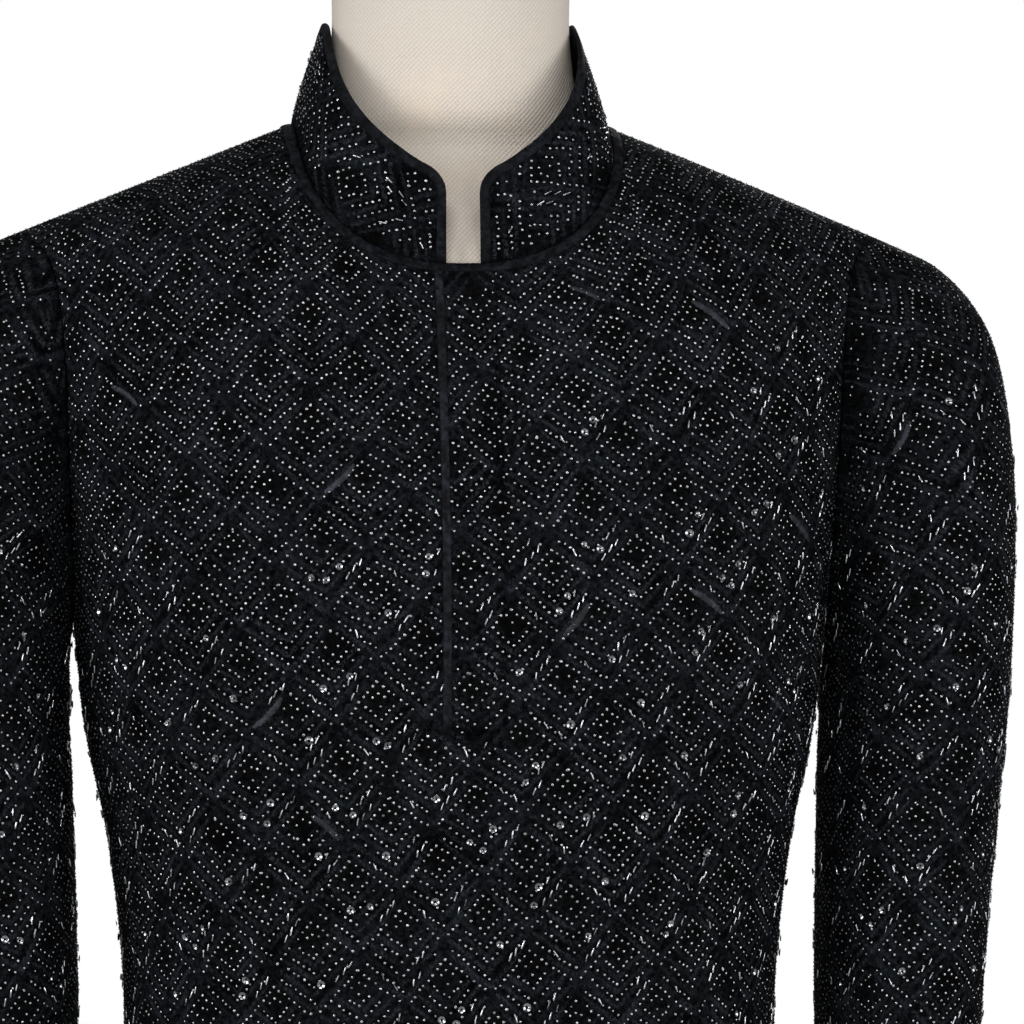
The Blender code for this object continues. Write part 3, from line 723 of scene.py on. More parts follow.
def outward(grid):
    """Unit normals of a grid whose rows run up and whose columns run to the right, seen from outside."""
    up = np.gradient(grid, axis=0)
    right = np.gradient(grid, axis=1)
    if np.allclose(grid[:, 0], grid[:, -1], atol=1e-6):
        right[:, [0, -1]] = (grid[:, [1]] - grid[:, [-2]]) / 2
    return unit(np.cross(right, up))


def creased(points, normals, creases):
    """The points pressed in or raised along each crease, which fades out towards its ends."""
    shift = np.zeros(points.shape[:2])
    for x1, z1, x2, z2, width, depth in creases:
        run = np.array([x2 - x1, z2 - z1])
        length = np.linalg.norm(run)
        away = points[..., (0, 2)] - np.array([x1, z1])
        along = away @ run / length**2
        aside = (away[..., 0] * run[1] - away[..., 1] * run[0]) / length
        bend = 0.12 * length * np.sin(np.clip(along, 0, 1) * math.pi)
        fade = np.clip(1 - np.abs(along * 2 - 1) ** 3, 0, 1)
        off = (aside - bend) / width
        shift -= depth * fade * (np.exp(-(off**2)) - 0.3 * np.exp(-((off / 2) ** 2)))
    return points + normals * shift[..., None]


def eased(points, flat, rounds):
    """Moves flat places until the threads between them, also slanting ones, are as long as on the body."""
    everything, first, second = slice(None), slice(None, -1), slice(1, None)
    pairs = (((everything, first), (everything, second)), ((first, everything), (second, everything)),
             ((first, first), (second, second)), ((first, second), (second, first)))
    lengths_on_body = [np.linalg.norm(points[b] - points[a], axis=-1, keepdims=True) for a, b in pairs]
    for _ in range(rounds):
        moves, count = np.zeros_like(flat), np.zeros(flat.shape[:2] + (1,))
        for (a, b), length in zip(pairs, lengths_on_body):
            step = flat[b] - flat[a]
            now = np.linalg.norm(step, axis=-1, keepdims=True)
            pull = step * (0.5 * (now - length) / now)
            moves[a] += pull
            moves[b] -= pull
            count[a] += 1
            count[b] += 1
        flat = flat + moves / count * 1.6
    return flat


def laid_flat(points, across, along):
    """The cloth's flat cut: each grid point's place across and up it, eased coarsely and then finely."""
    flat = np.stack([across, along], axis=-1)
    rows, columns = across.shape
    for skip, rounds in ((8, 240), (4, 160), (2, 80), (1, 40)):
        some_rows = np.unique([*range(0, rows, skip), rows - 1])
        some_columns = np.unique([*range(0, columns, skip), columns - 1])
        start = flat[np.ix_(some_rows, some_columns)]
        change = eased(points[np.ix_(some_rows, some_columns)], start, rounds) - start
        wide = [[np.interp(range(columns), some_columns, row[:, k]) for row in change] for k in (0, 1)]
        wide = np.stack(wide, axis=-1)
        tall = [[np.interp(range(rows), some_rows, wide[:, j, k]) for j in range(columns)] for k in (0, 1)]
        flat = flat + np.array(tall).transpose(2, 1, 0)
    return flat[..., 0], flat[..., 1]


ABOVE = Vector((0.0, 0.0, 1.0))


class Laid:
    """A piece of cloth as a grid of points, with the places on its flat cut that its pattern follows."""

    def __init__(self, grid, creases=(), turn=0.0, level=True, start=None):
        self.across, self.along = laid_flat(grid, *(start or lengths(grid, level)))
        self.points = creased(grid, outward(grid), creases) if len(creases) else grid
        self.normals = outward(self.points)
        self.turn = turn
        self.origin = np.zeros(2)

    def anchor(self, where):
        """Moves the pattern so that a motif's middle lies at a point of the cloth, given as x and z."""
        flat = self.points[..., (0, 2)] - np.array(where)
        i, j = np.unravel_index(np.argmin((flat**2).sum(axis=2)), flat.shape[:2])
        here = np.array([self.across[i, j], self.along[i, j]])
        self.origin = here - self.sides() @ np.array([MOTIF_CENTRE, MOTIF_CENTRE])

    def sides(self):
        """The diamond's two sides as columns, turned with the cut."""
        cos, sin = math.cos(self.turn), math.sin(self.turn)
        return np.array([[cos, -sin], [sin, cos]]) @ np.stack([SIDE_A, SIDE_B], axis=1)

    def wander(self, across, along):
        """How far the hand-worked rows stray from a true lattice, as (across, up)."""
        stray = STRAY * np.sin(across * 47 + along * 21)
        drift = STRAY * np.sin(across * 39 - along * 33 + 0.7)
        return (stray + FINE_STRAY * np.sin(along * 83 - across * 37 + 1.3),
                drift + FINE_STRAY * np.sin(across * 91 + along * 29))

    def lattice(self):
        """Each grid point's place in the pattern, a whole number at each diamond's top corner."""
        stray, drift = self.wander(self.across, self.along)
        flat = np.stack([self.across + stray - self.origin[0], self.along + drift - self.origin[1]])
        cells = np.linalg.inv(self.sides()) @ flat.reshape(2, -1)
        return cells[0].reshape(self.across.shape), cells[1].reshape(self.across.shape)

    def place(self, cells, margin):
        """Points and normals on the cloth for places in the pattern, and which keep off its edges."""
        flat = self.sides() @ cells.T + self.origin[:, None]
        stray, drift = self.wander(flat[0], flat[1])
        s, t = flat[0] - stray, flat[1] - drift
        corners, triangles, edge = self.net()
        spots = np.stack([s, t, np.zeros(len(s))], axis=1)
        hits = [triangles.ray_cast(spot + ABOVE, -ABOVE) for spot in map(Vector, spots)]
        on = np.array([hit[2] is not None for hit in hits])
        keep = on & np.array([edge.find(spot)[2] > margin for spot in spots])
        at = corners[[hit[2] or 0 for hit in hits]]
        flat = np.stack([self.across, self.along], axis=-1).reshape(-1, 2)[at]
        first, second, off = flat[:, 1] - flat[:, 0], flat[:, 2] - flat[:, 0], spots[:, :2] - flat[:, 0]
        whole = first[:, 0] * second[:, 1] - first[:, 1] * second[:, 0]
        u = (off[:, 0] * second[:, 1] - off[:, 1] * second[:, 0]) / whole
        v = (first[:, 0] * off[:, 1] - first[:, 1] * off[:, 0]) / whole
        shares = np.stack([1 - u - v, u, v], axis=1)[..., None]
        found = [(values.reshape(-1, 3)[at] * shares).sum(axis=1) for values in (self.points, self.normals)]
        return found[0], unit(found[1]), keep

    def net(self):
        """The flat cut's triangles with a tree to search them, and a tree of places along its edge."""
        rows, columns = self.across.shape
        number = np.arange(rows * columns).reshape(rows, columns)
        a, b, c, d = number[:-1, :-1], number[:-1, 1:], number[1:, 1:], number[1:, :-1]
        corners = [np.stack(three, axis=-1).reshape(-1, 3) for three in ((a, b, c), (a, c, d))]
        corners = np.concatenate(corners)
        flat = np.stack([self.across, self.along, np.zeros_like(self.along)], axis=-1)
        triangles = BVHTree.FromPolygons(flat.reshape(-1, 3).tolist(), corners.tolist(), all_triangles=True)
        rim = np.concatenate([flat[0], flat[:, -1], flat[-1, ::-1], flat[::-1, 0]])
        rim = np.concatenate([rim[:-1] + (rim[1:] - rim[:-1]) * share for share in np.arange(0, 1, 0.125)])
        edge = KDTree(len(rim))
        for k, spot in enumerate(rim):
            edge.insert(spot, k)
        edge.balance()
        return corners, triangles, edge

    def size(self):
        """The flat cut's greatest width and length."""
        return float(np.ptp(self.across)), float(np.ptp(self.along))


def build_thread_work():
    """Thread embroidery from places in the pattern: its thread, satin, close black eyes and height."""
    tree, given, out = group_tree(
        "thread work",
        [("Vector", "NodeSocketVector", None)],
        [("Thread", "NodeSocketFloat"), ("Satin", "NodeSocketFloat"), ("Eye", "NodeSocketFloat"),
         ("Height", "NodeSocketFloat")],
    )
    parts = tree.nodes.new("ShaderNodeSeparateXYZ")
    tree.links.new(given["Vector"], parts.inputs[0])
    frayed = noise(tree, given["Vector"], 22.0, 4.0)
    fray = calc(tree, "MULTIPLY_ADD", frayed, 0.13, -0.065)
    a = calc(tree, "FRACT", calc(tree, "ADD", parts.outputs["X"], fray))
    b = calc(tree, "FRACT", calc(tree, "SUBTRACT", parts.outputs["Y"], fray))
    low = calc(tree, "MINIMUM", a, b)
    turned_a = calc(tree, "MULTIPLY", calc(tree, "MULTIPLY_ADD", b, FLARE, a), 1 / (1 + FLARE))
    turned_b = calc(tree, "MULTIPLY", calc(tree, "MULTIPLY_ADD", a, FLARE, b), 1 / (1 + FLARE))
    high = calc(tree, "MAXIMUM", turned_a, turned_b)
    along = calc(tree, "SUBTRACT", high, 0.475)
    row = calc(tree, "COSINE", calc(tree, "MULTIPLY", along, 2 * math.pi / 0.133))
    row = calc(tree, "MAXIMUM", calc(tree, "MULTIPLY_ADD", row, 0.8, 0.05), 0.0)
    row = calc(tree, "MULTIPLY", row, calc(tree, "GREATER_THAN", high, 0.36))
    edge = calc(tree, "ABSOLUTE", calc(tree, "SUBTRACT", high, 0.925))
    border = calc(tree, "MAXIMUM", calc(tree, "SUBTRACT", 1.0, calc(tree, "MULTIPLY", edge, 22.0)), 0.0)
    eye = calc(tree, "MINIMUM", calc(tree, "MULTIPLY", calc(tree, "SUBTRACT", 0.38, high), 9.0), 1.0)
    eye = calc(tree, "MINIMUM", eye, calc(tree, "MULTIPLY", calc(tree, "SUBTRACT", low, 0.03), 14.0))
    tree.links.new(calc(tree, "MAXIMUM", eye, 0.0), out["Eye"])
    cell = noise(tree, given["Vector"], 1.7, 2.0)
    worked = calc(tree, "MULTIPLY_ADD", calc(tree, "SUBTRACT", cell, 0.5), 3.0, 0.55)
    clamp = tree.nodes.new("ShaderNodeClamp")
    tree.links.new(worked, clamp.inputs["Value"])
    fibre = noise(tree, given["Vector"], 21.0, 3.0, 0.65)
    fibre = calc(tree, "MAXIMUM", calc(tree, "MULTIPLY_ADD", fibre, 4.6, -1.9), 0.0)
    thread = calc(tree, "MULTIPLY", row, calc(tree, "MULTIPLY_ADD", clamp.outputs[0], 0.9, 0.1))
    thread = calc(tree, "MULTIPLY", thread, fibre)
    bright = noise(tree, given["Vector"], 2.6, 1.0)
    bright = calc(tree, "MAXIMUM", calc(tree, "MULTIPLY_ADD", bright, 7.0, -3.7), 0.12)
    satin = calc(tree, "MULTIPLY", border, calc(tree, "MINIMUM", bright, 1.0))
    satin = calc(tree, "MULTIPLY", satin, calc(tree, "MULTIPLY_ADD", fibre, 0.7, 0.2))
    tree.links.new(thread, out["Thread"])
    tree.links.new(satin, out["Satin"])
    height = calc(tree, "ADD", calc(tree, "MULTIPLY", row, 0.25), calc(tree, "MULTIPLY", border, 0.25))
    height = calc(tree, "ADD", height, calc(tree, "MULTIPLY", fibre, 0.45))
    tree.links.new(height, out["Height"])
    return tree


thread_group = build_thread_work()


def worked_cloth():
    finish = Finish("thread-worked black cloth", Metallic=0.0, Specular_IOR_Level=0.01)
    work = finish.group(thread_group, Vector=finish.coordinates("UV"))
    uneven = finish.double_mottle((360.0, 3.6), (42.0, 2.4), 1.25, 0.05)
    eye = calc(finish.tree, "MULTIPLY", work["Eye"], 0.6)
    ground = mixed(finish.tree, eye, mixed(finish.tree, uneven, GROUND, GROUND_LIFTED), EYE)
    threads = mixed(finish.tree, work["Thread"], ground, THREAD)
    finish.feed("Base Color", mixed(finish.tree, work["Satin"], threads, SATIN))
    shine = calc(finish.tree, "MAXIMUM", work["Thread"], work["Satin"])
    finish.ranged("Roughness", shine, 0.85, 0.48)
    finish.bump(work["Height"], 0.0011)
    return finish.material


def plain_cloth(name, colour, lifted, threads, roughness):
    """Plain black cloth by its two tones, threads to a metre and roughness."""
    finish = Finish(name, Metallic=0.0, Specular_IOR_Level=0.06)
    weave = finish.group(weave_group, Vector=finish.coordinates(), Threads=threads, Twill=0.2)
    uneven = finish.double_mottle((250.0, 4.0), (70.0, 3.0), 1.0, 0.3)
    finish.feed("Base Color", mixed(finish.tree, uneven, colour, lifted))
    finish.ranged("Roughness", weave["Slubs"], roughness - 0.1, roughness + 0.1)
    relief = calc(finish.tree, "MULTIPLY_ADD", weave["Height"], 0.2, uneven)
    finish.bump(relief, 0.0005)
    return finish.material


cloth_finish = worked_cloth()
backing_finish = plain_cloth("plain backing", (0.003, 0.003, 0.0035), (0.007, 0.007, 0.008), 1600.0, 0.8)


def shell(name, laid, node, thickness=CLOTH, materials=(cloth_finish, backing_finish)):
    """A piece of cloth as a thin shell on its grid, in place of its solid."""
    obj = piece(name, grid_mesh(name, laid.points, *laid.lattice()), *materials)
    wall = obj.modifiers.new("thickness", "SOLIDIFY")
    wall.thickness = thickness
    wall.offset = -1
    wall.material_offset = len(materials) - 1
    wall.material_offset_rim = len(materials) - 1
    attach(obj, "root")
    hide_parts(node)
    return obj


def body_grid(side, columns, lower=LOWER_ROWS, upper=UPPER_ROWS):
    """A body panel's points in rows from the hem up, and in columns to the right as seen from outside."""
    rows = [[lower_point(side, column, z) for column in columns] for z in lower]
    rows += [[upper_point(side, column, rise) for column in columns] for rise in upper]
    return np.array(rows)[:, ::-side]


front_laid = Laid(body_grid(-1, panel_columns()), FRONT_CREASES)
front_laid.anchor(ANCHOR)
front = shell("front_panel", front_laid, "front")
front_laid.size()


# Coat back
# One panel like the front, cut to a shallow back neck, joined to it at the shoulders and down to the slits.
back_laid = Laid(body_grid(1, panel_columns()), BACK_CREASES)
back_laid.anchor((0.0, 1.150))
back = shell("back_panel", back_laid, "back")
back_laid.size()


# Placket
# A strip of the same worked cloth over the half-length front opening, its left edge turned under and loose,
# stitched down in a small point at its lower end.
LAID_ON = 0.0004
PLACKET_CLOTH = 0.0012
PLACKET_TOP_GAP = 0.0056
PLACKET_SEWN_LIFT = 0.0008  # at the right edge, which is sewn down flat

placket_across = np.linspace(-PLACKET_HALF_WIDTH, PLACKET_HALF_WIDTH, 9)
placket_columns = [(math.copysign(1, x), abs(x), abs(x), 0.0) for x in placket_across]
placket_lower = [z for z in LOWER_ROWS if z >= PLACKET_END_Z]
placket_grid = body_grid(-1, placket_columns, placket_lower, UPPER_ROWS)
down = unit(placket_grid[-2] - placket_grid[-1])
placket_grid[-1] += down * PLACKET_TOP_GAP
steps = np.linspace(1 / 6, 5 / 6, 5)[:, None, None]
placket_grid[-6:-1] = placket_grid[-7:-6] + (placket_grid[-1] - placket_grid[-7]) * steps
placket_laid = Laid(placket_grid)
placket_lift = np.linspace(LAID_ON + PLACKET_CLOTH, PLACKET_SEWN_LIFT, placket_grid.shape[1])
placket_laid.points = placket_grid + outward(placket_grid) * placket_lift[None, :, None]
placket_start = len(LOWER_ROWS) - len(placket_lower), front_laid.along.shape[1] // 2
placket_laid.along += front_laid.along[placket_start] - placket_laid.along[0, placket_grid.shape[1] // 2]
placket_laid.across += front_laid.across[placket_start] - placket_laid.across[0, placket_grid.shape[1] // 2]
placket_laid.origin = front_laid.origin
placket = shell("placket_strip", placket_laid, "placket", thickness=PLACKET_SEWN_LIFT - 0.0001)
placket_laid.size()


# Placket fold
# The placket's left edge is turned back as a narrow plain fold, stitched down along its right side.
FOLD_WIDTH = 0.0042
FOLD_CLOTH = 0.0003


def fold_grid():
    """The fold's points: from the placket's left edge inwards, in rows from the lower end up."""
    columns = np.arange(placket_grid.shape[1])
    rows = []
    laid = placket_laid
    for point_row, normal_row, across in zip(laid.points, laid.normals, laid.across):
        row = []
        for share, lift in ((0.0, 0.3), (0.12, 1.0), (0.4, 1.15), (0.75, 1.0), (0.95, 0.8), (1.0, 0.2)):
            at = np.interp(across[0] + FOLD_WIDTH * share, across, columns)
            place = [np.interp(at, columns, point_row[:, k]) for k in range(3)]
            row.append(np.array(place) + unit(normal_row[0]) * (0.0002 + FOLD_CLOTH * lift))
        rows.append(row)
    return np.array(rows)


fold_laid = Laid(fold_grid())
fold_tones = (0.0008, 0.0009, 0.0012), (0.0105, 0.0118, 0.0160)
fold_finish = plain_cloth("turned black satin", *fold_tones, 2200.0, 0.65)
placket_fold = shell("placket_fold", fold_laid, "placket", thickness=FOLD_CLOTH, materials=(fold_finish,))


# Sleeves
# Each is one tube of the worked cloth, set into the armhole, its seam under the arm, creased at the elbow.
ARMHOLE_GAP = 0.0004
SLEEVE_COLUMNS = 72
SLEEVE_ROWS = 96
STRAIGHT_ROWS = 72  # rows from the cuff up to where the sleeve head begins
SLEEVE_SQUARENESS = 0.92
HEAD_SHARE = 0.20  # of the sleeve's length, where it eases into the armhole

# Share of the way, outer x, outer z, inner x, inner z, front y, back y
SLEEVE_RINGS = (
    (0.00, 0.2400, 1.3990, 0.1993, 1.1950, -0.056, 0.062),
    (0.08, 0.2655, 1.3860, 0.2004, 1.1880, -0.064, 0.074),
    (0.18, 0.2890, 1.3540, 0.2006, 1.1760, -0.072, 0.082),
    (0.30, 0.3010, 1.2900, 0.2002, 1.1500, -0.077, 0.083),
    (0.45, 0.3005, 1.1900, 0.1985, 1.0900, -0.077, 0.077),
    (0.60, 0.2915, 1.0880, 0.1965, 1.0200, -0.076, 0.066),
    (0.72, 0.2830, 1.0000, 0.1955, 0.9550, -0.076, 0.055),
    (0.86, 0.2770, 0.8950, 0.1985, 0.8700, -0.081, 0.036),
    (1.00, 0.2730, 0.7900, 0.2030, 0.7880, -0.086, 0.010),
)

# Share of the way down, where round the sleeve (90 front, 180 outer), width, spread, depth
SLEEVE_CREASES = (
    (0.20, 62, 0.030, 44, 0.0030),
    (0.34, 40, 0.030, 50, 0.0030),
    (0.62, 95, 0.022, 60, 0.0034),
    (0.69, 60, 0.022, 56, 0.0040),
    (0.75, 110, 0.022, 52, 0.0030),
    (0.80, 280, 0.024, 46, 0.0024),
    (0.92, 150, 0.024, 60, 0.0024),
    (0.27, 84, 0.016, 40, 0.0020),
    (0.44, 70, 0.014, 46, 0.0016),
    (0.56, 130, 0.014, 44, 0.0018),
    (0.66, 250, 0.016, 50, 0.0020),
    (0.72, 215, 0.014, 40, 0.0018),
    (0.85, 60, 0.014, 44, 0.0016),
)
CREASE_SLANT = 0.0004


def armhole_loop(mirror):
    """The armhole's edge, just off the panels: up the front to the shoulder tip and down the back."""
    loop = []
    for k in range(SLEEVE_COLUMNS):
        turn = 2 * k / SLEEVE_COLUMNS
        side, rise = (-1, turn) if turn <= 1 else (1, 2 - turn)
        edge = upper_point(side, (1, *NECK_COLUMNS[-1], 1.0), rise)
        out = unit(edge - upper_point(side, (1, *NECK_COLUMNS[-1], 0.95), rise))
        if rise in (0.0, 1.0):
            edge[1] = SHOULDER_RIDGE_Y * rise
            out = unit(np.array([1.0, 0.0, -SHOULDER_FALL * rise]))
        point = edge + out * ARMHOLE_GAP
        loop.append(point * np.array([mirror, 1, 1]))
    return np.array(loop)


def sleeve_ring(share, mirror):
    """An oval across the sleeve at a share of its way down, from the inner side round by the front."""
    outer = np.array([reading(SLEEVE_RINGS, 1, share), 0.0, reading(SLEEVE_RINGS, 2, share)])
    inner = np.array([reading(SLEEVE_RINGS, 3, share), 0.0, reading(SLEEVE_RINGS, 4, share)])
    front_y, back_y = reading(SLEEVE_RINGS, 5, share), reading(SLEEVE_RINGS, 6, share)
    ring = []
    for k in range(SLEEVE_COLUMNS):
        turn = 2 * math.pi * k / SLEEVE_COLUMNS
        along, across = squarish(turn, SLEEVE_SQUARENESS)
        point = (outer + inner) / 2 - (outer - inner) / 2 * along
        point[1] = (front_y + back_y) / 2 - (back_y - front_y) / 2 * across
        ring.append(point * np.array([mirror, 1, 1]))
    return np.array(ring)


def sleeve_crease(share, turn):
    """How deep the creases press in at a share of the way down and an angle round the sleeve."""
    deep = 0.0
    for down, where, width, spread, depth in SLEEVE_CREASES:
        off = (turn - where + 180) % 360 - 180
        along = share - down - off * CREASE_SLANT
        deep += depth * math.exp(-((along / width) ** 2) - (off / spread) ** 2)
    return deep


def sleeve_grid(mirror):
    """A sleeve's points in rows from the cuff up, with its first column repeated as its last."""
    loop = armhole_loop(mirror)
    first = sleeve_ring(0.0, mirror)
    rows = []
    for share in np.linspace(1.0, 0.0, SLEEVE_ROWS):
        set_in = 1 - smooth_step(share / HEAD_SHARE)
        ring = sleeve_ring(share, mirror) + (loop - first) * set_in
        middle = ring.mean(axis=0)
        for k in range(SLEEVE_COLUMNS):
            pressed = sleeve_crease(share, 360 * k / SLEEVE_COLUMNS) * (1 - set_in)
            ring[k] -= unit(ring[k] - middle) * pressed
        rows.append(np.concatenate([ring, ring[:1]]))
    return np.array(rows)[:, ::mirror]


def unrolled(grid, mirror):
    """A first flat layout of a sleeve: round it by angle about the arm's middle line, up it by height."""
    middles = grid[:STRAIGHT_ROWS].mean(axis=1)
    top = grid[-1, grid.shape[1] // 2] - np.array([0.025 * mirror, 0, 0])
    middles = np.concatenate([middles, [top]])
    off_x = grid[..., 0] - np.interp(grid[..., 2], middles[:, 2], middles[:, 0])
    off_y = grid[..., 1] - np.interp(grid[..., 2], middles[:, 2], middles[:, 1])
    turn = np.unwrap(np.arctan2(off_y, off_x), axis=1)
    turn -= turn[:, [grid.shape[1] // 2]]
    girth = np.linalg.norm(np.diff(grid[:STRAIGHT_ROWS], axis=1), axis=2).sum(axis=1).mean()
    return turn * np.sign(turn[0, -1]) * girth / (2 * math.pi), grid[..., 2] - grid[..., 2].min()


sleeve_laid = {}
for name, mirror in (("sleeve_right", -1), ("sleeve_left", 1)):
    tube_grid = sleeve_grid(mirror)
    laid = Laid(tube_grid, start=unrolled(tube_grid, mirror))
    laid.anchor((mirror * 0.262, 1.205))
    sleeve = shell(name + "_tube", laid, name)
    laid.size()
    sleeve_laid[name] = laid


# Collar
# A stiffened band of the worked cloth, its pattern on its side, stood on the neckline and open in front.
COLLAR_SEAM = 0.0010
COLLAR_GAP_HALF = 0.0098
COLLAR_CORNER = 0.011
COLLAR_CURVE_RADIUS = 0.082
COLLAR_TURN = math.radians(87)
COLLAR_CLOTH = 0.0013
COLLAR_LEAN_POWER = 1.25
COLLAR_TUCK = 0.0014  # how far its lower edge is tucked behind the neckline's strip

# Angle round the neck from the front, height of the band, how far its top leans in
COLLAR_BAND = (
    (0, 0.0450, 0.002),
    (12, 0.0480, 0.004),
    (28, 0.0550, 0.008),
    (52, 0.0600, 0.0135),
    (75, 0.0580, 0.0172),
    (90, 0.0522, 0.0170),
    (135, 0.0490, 0.008),
    (180, 0.0480, 0.006),
)
COLLAR_END = math.degrees(math.asin(COLLAR_GAP_HALF / SIDE_NECK_X))
CORNER_STEPS = (0.0, 0.3, 0.7, 1.2, 1.8, 2.5, 3.4, 4.5, 5.6)
FRONT_STATIONS = (16, 21, 26.5, 32.4, 38.5, 44.6, 51, 57.7, 64, 70.1, 74, 77.5, 80.3, 83.2, 86.2,
                  88.2, 89.2, 89.7, 90)
BACK_STATIONS = (91, 93.5, 96.8, 102.5, 109.9, 122.3, 135.4, 147.6, 159.1, 169)


def neckline_point(angle):
    """A point of the neckline, by angle from the front (0) by the wearer's left (90) to the back."""
    side = -1 if abs(angle) <= 90 else 1
    x = SIDE_NECK_X * math.sin(math.radians(angle))
    return chest_point(side, x, ARMHOLE[-1][2], rise_to_edge(side, x))


def collar_point(angle, share):
    """A point of the collar's outer face, at a share of the way from its seam to its top edge."""
    around = abs(angle)
    base = neckline_point(angle)
    height = reading(COLLAR_BAND, 1, around)
    from_end = math.radians(around - COLLAR_END) * COLLAR_CURVE_RADIUS
    if from_end < COLLAR_CORNER:
        height -= COLLAR_CORNER - math.sqrt(COLLAR_CORNER**2 - (COLLAR_CORNER - from_end) ** 2)
    inward = -unit((base - NECK_MIDDLE) * np.array([1, 1, 0]))
    lean = reading(COLLAR_BAND, 2, around) * share ** COLLAR_LEAN_POWER
    rise = COLLAR_TUCK * (share - 1) + COLLAR_SEAM * 0.8 + height * share
    return base + np.array([0, 0, rise]) + inward * (COLLAR_SEAM + lean)


collar_half = [COLLAR_END + step for step in CORNER_STEPS]
collar_half += list(finer([*FRONT_STATIONS, *BACK_STATIONS], 3))
collar_angles = [*collar_half, 180, *[-angle for angle in reversed(collar_half)]]
collar_shares = np.linspace(0, 1, 13)
collar_grid = np.array([[collar_point(angle, share) for angle in collar_angles] for share in collar_shares])
collar_laid = Laid(collar_grid, turn=COLLAR_TURN, level=False)
collar_laid.anchor((-0.060, 1.430))
collar = shell("collar_band", collar_laid, "collar", thickness=COLLAR_CLOTH)
collar_laid.size()


# Collar binding
# A strip of plain black satin folded over the collar's front ends and top edge and stitched through.
BINDING_WIDTH = 0.0046
BINDING_CLOTH = 0.0003
BINDING_AIR = 0.0002

trim_tones = (0.0004, 0.0005, 0.0008), (0.0068, 0.0076, 0.0105)
trim_finish = plain_cloth("black satin trim", *trim_tones, 2200.0, 0.75)

inner_rows = range(len(collar_shares) - 1)
binding_places = [(i, 0) for i in inner_rows]
binding_places += [(len(collar_shares) - 1, j) for j in range(len(collar_angles))]
binding_places += [(i, len(collar_angles) - 1) for i in reversed(inner_rows)]
binding_path = np.array([collar_laid.points[i, j] for i, j in binding_places])
binding_out = np.array([collar_laid.normals[i, j] for i, j in binding_places])
binding_beyond = unit(np.cross(unit(np.gradient(binding_path, axis=0)), binding_out))
if binding_beyond[len(binding_beyond) // 2, 2] < 0:
    binding_beyond = -binding_beyond


def binding_fold():
    """The folded strip's section: (off the collar's face, past its edge), round over the edge."""
    outer, inner = BINDING_AIR + BINDING_CLOTH, -COLLAR_CLOTH - BINDING_AIR - BINDING_CLOTH
    middle, half = (outer + inner) / 2, (outer - inner) / 2
    over = [(outer - 0.0004, -BINDING_WIDTH), (outer, -BINDING_WIDTH * 0.85), (outer, -BINDING_WIDTH * 0.3)]
    for k in range(9):
        turn = math.pi * k / 8
        over.append((middle + half * math.cos(turn), BINDING_AIR + half * 0.55 * math.sin(turn)))
    over += [(inner, -BINDING_WIDTH * 0.3), (inner, -BINDING_WIDTH * 0.85)]
    over.append((inner + 0.0004, -BINDING_WIDTH))
    behind = -COLLAR_CLOTH - BINDING_AIR * 0.4
    back_in = [(behind, -BINDING_WIDTH), (behind, BINDING_AIR * 0.8)]
    return over + back_in + [(BINDING_AIR * 0.4, BINDING_AIR * 0.8), (BINDING_AIR * 0.4, -BINDING_WIDTH)]


fold = binding_fold()
binding_rows = []
for off, over in [*fold, fold[0]]:
    binding_rows.append(binding_path + binding_out * off + binding_beyond * over)
binding_grid = np.array(binding_rows).transpose(1, 0, 2)
binding_mesh = grid_mesh("bound_edge", binding_grid, *lengths(binding_grid), ends=True)
closed_up(binding_mesh)
binding = piece("bound_edge", binding_mesh, trim_finish)
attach(binding, "root")
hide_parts("collar_binding")


# Neckline band
# A narrow plain strip that covers the collar's seam all the way round, a little puckered where it turns.
BAND_WIDTH = 0.0054
BAND_CLOTH = 0.0004
BAND_AIR = 0.0003
PUCKER = 0.0003

# Distance out from the neckline, height as a share of the strip's, and how far it is drawn in over the seam
BAND_SECTION = (
    (0.0004, -0.3, 0.0), (0.0004, 0.8, 0.0013), (0.0014, 1.0, 0.0004), (0.0028, 1.0, 0.0),
    (0.0040, 0.9, 0.0), (0.0050, 0.5, 0.0), (0.0054, -0.2, 0.0), (0.0052, -0.5, 0.0),
)


def near_neckline(angle, width):
    """A point of the coat's outer face at a distance from the neckline, straight away from its middle."""
    start = neckline_point(angle)
    away = unit((start - NECK_MIDDLE) * np.array([1, 1, 0]))
    out = width
    for _ in range(4):
        x, y = (start + away * out)[:2]
        side = -1 if y < SHOULDER_RIDGE_Y else 1
        level = side * BODY_SECTIONS[-1][2 if side < 0 else 3] * bulge(x / ARMHOLE[-1][2], SECTION_POWER)
        share = (y - SHOULDER_RIDGE_Y) / (level - SHOULDER_RIDGE_Y)
        z = UNDERARM_Z + (seam_height(x) - UNDERARM_Z) * bulge(share, profile_power(side, x))
        point = np.array([x, y, z])
        out *= width / np.linalg.norm(point - start)
    return point


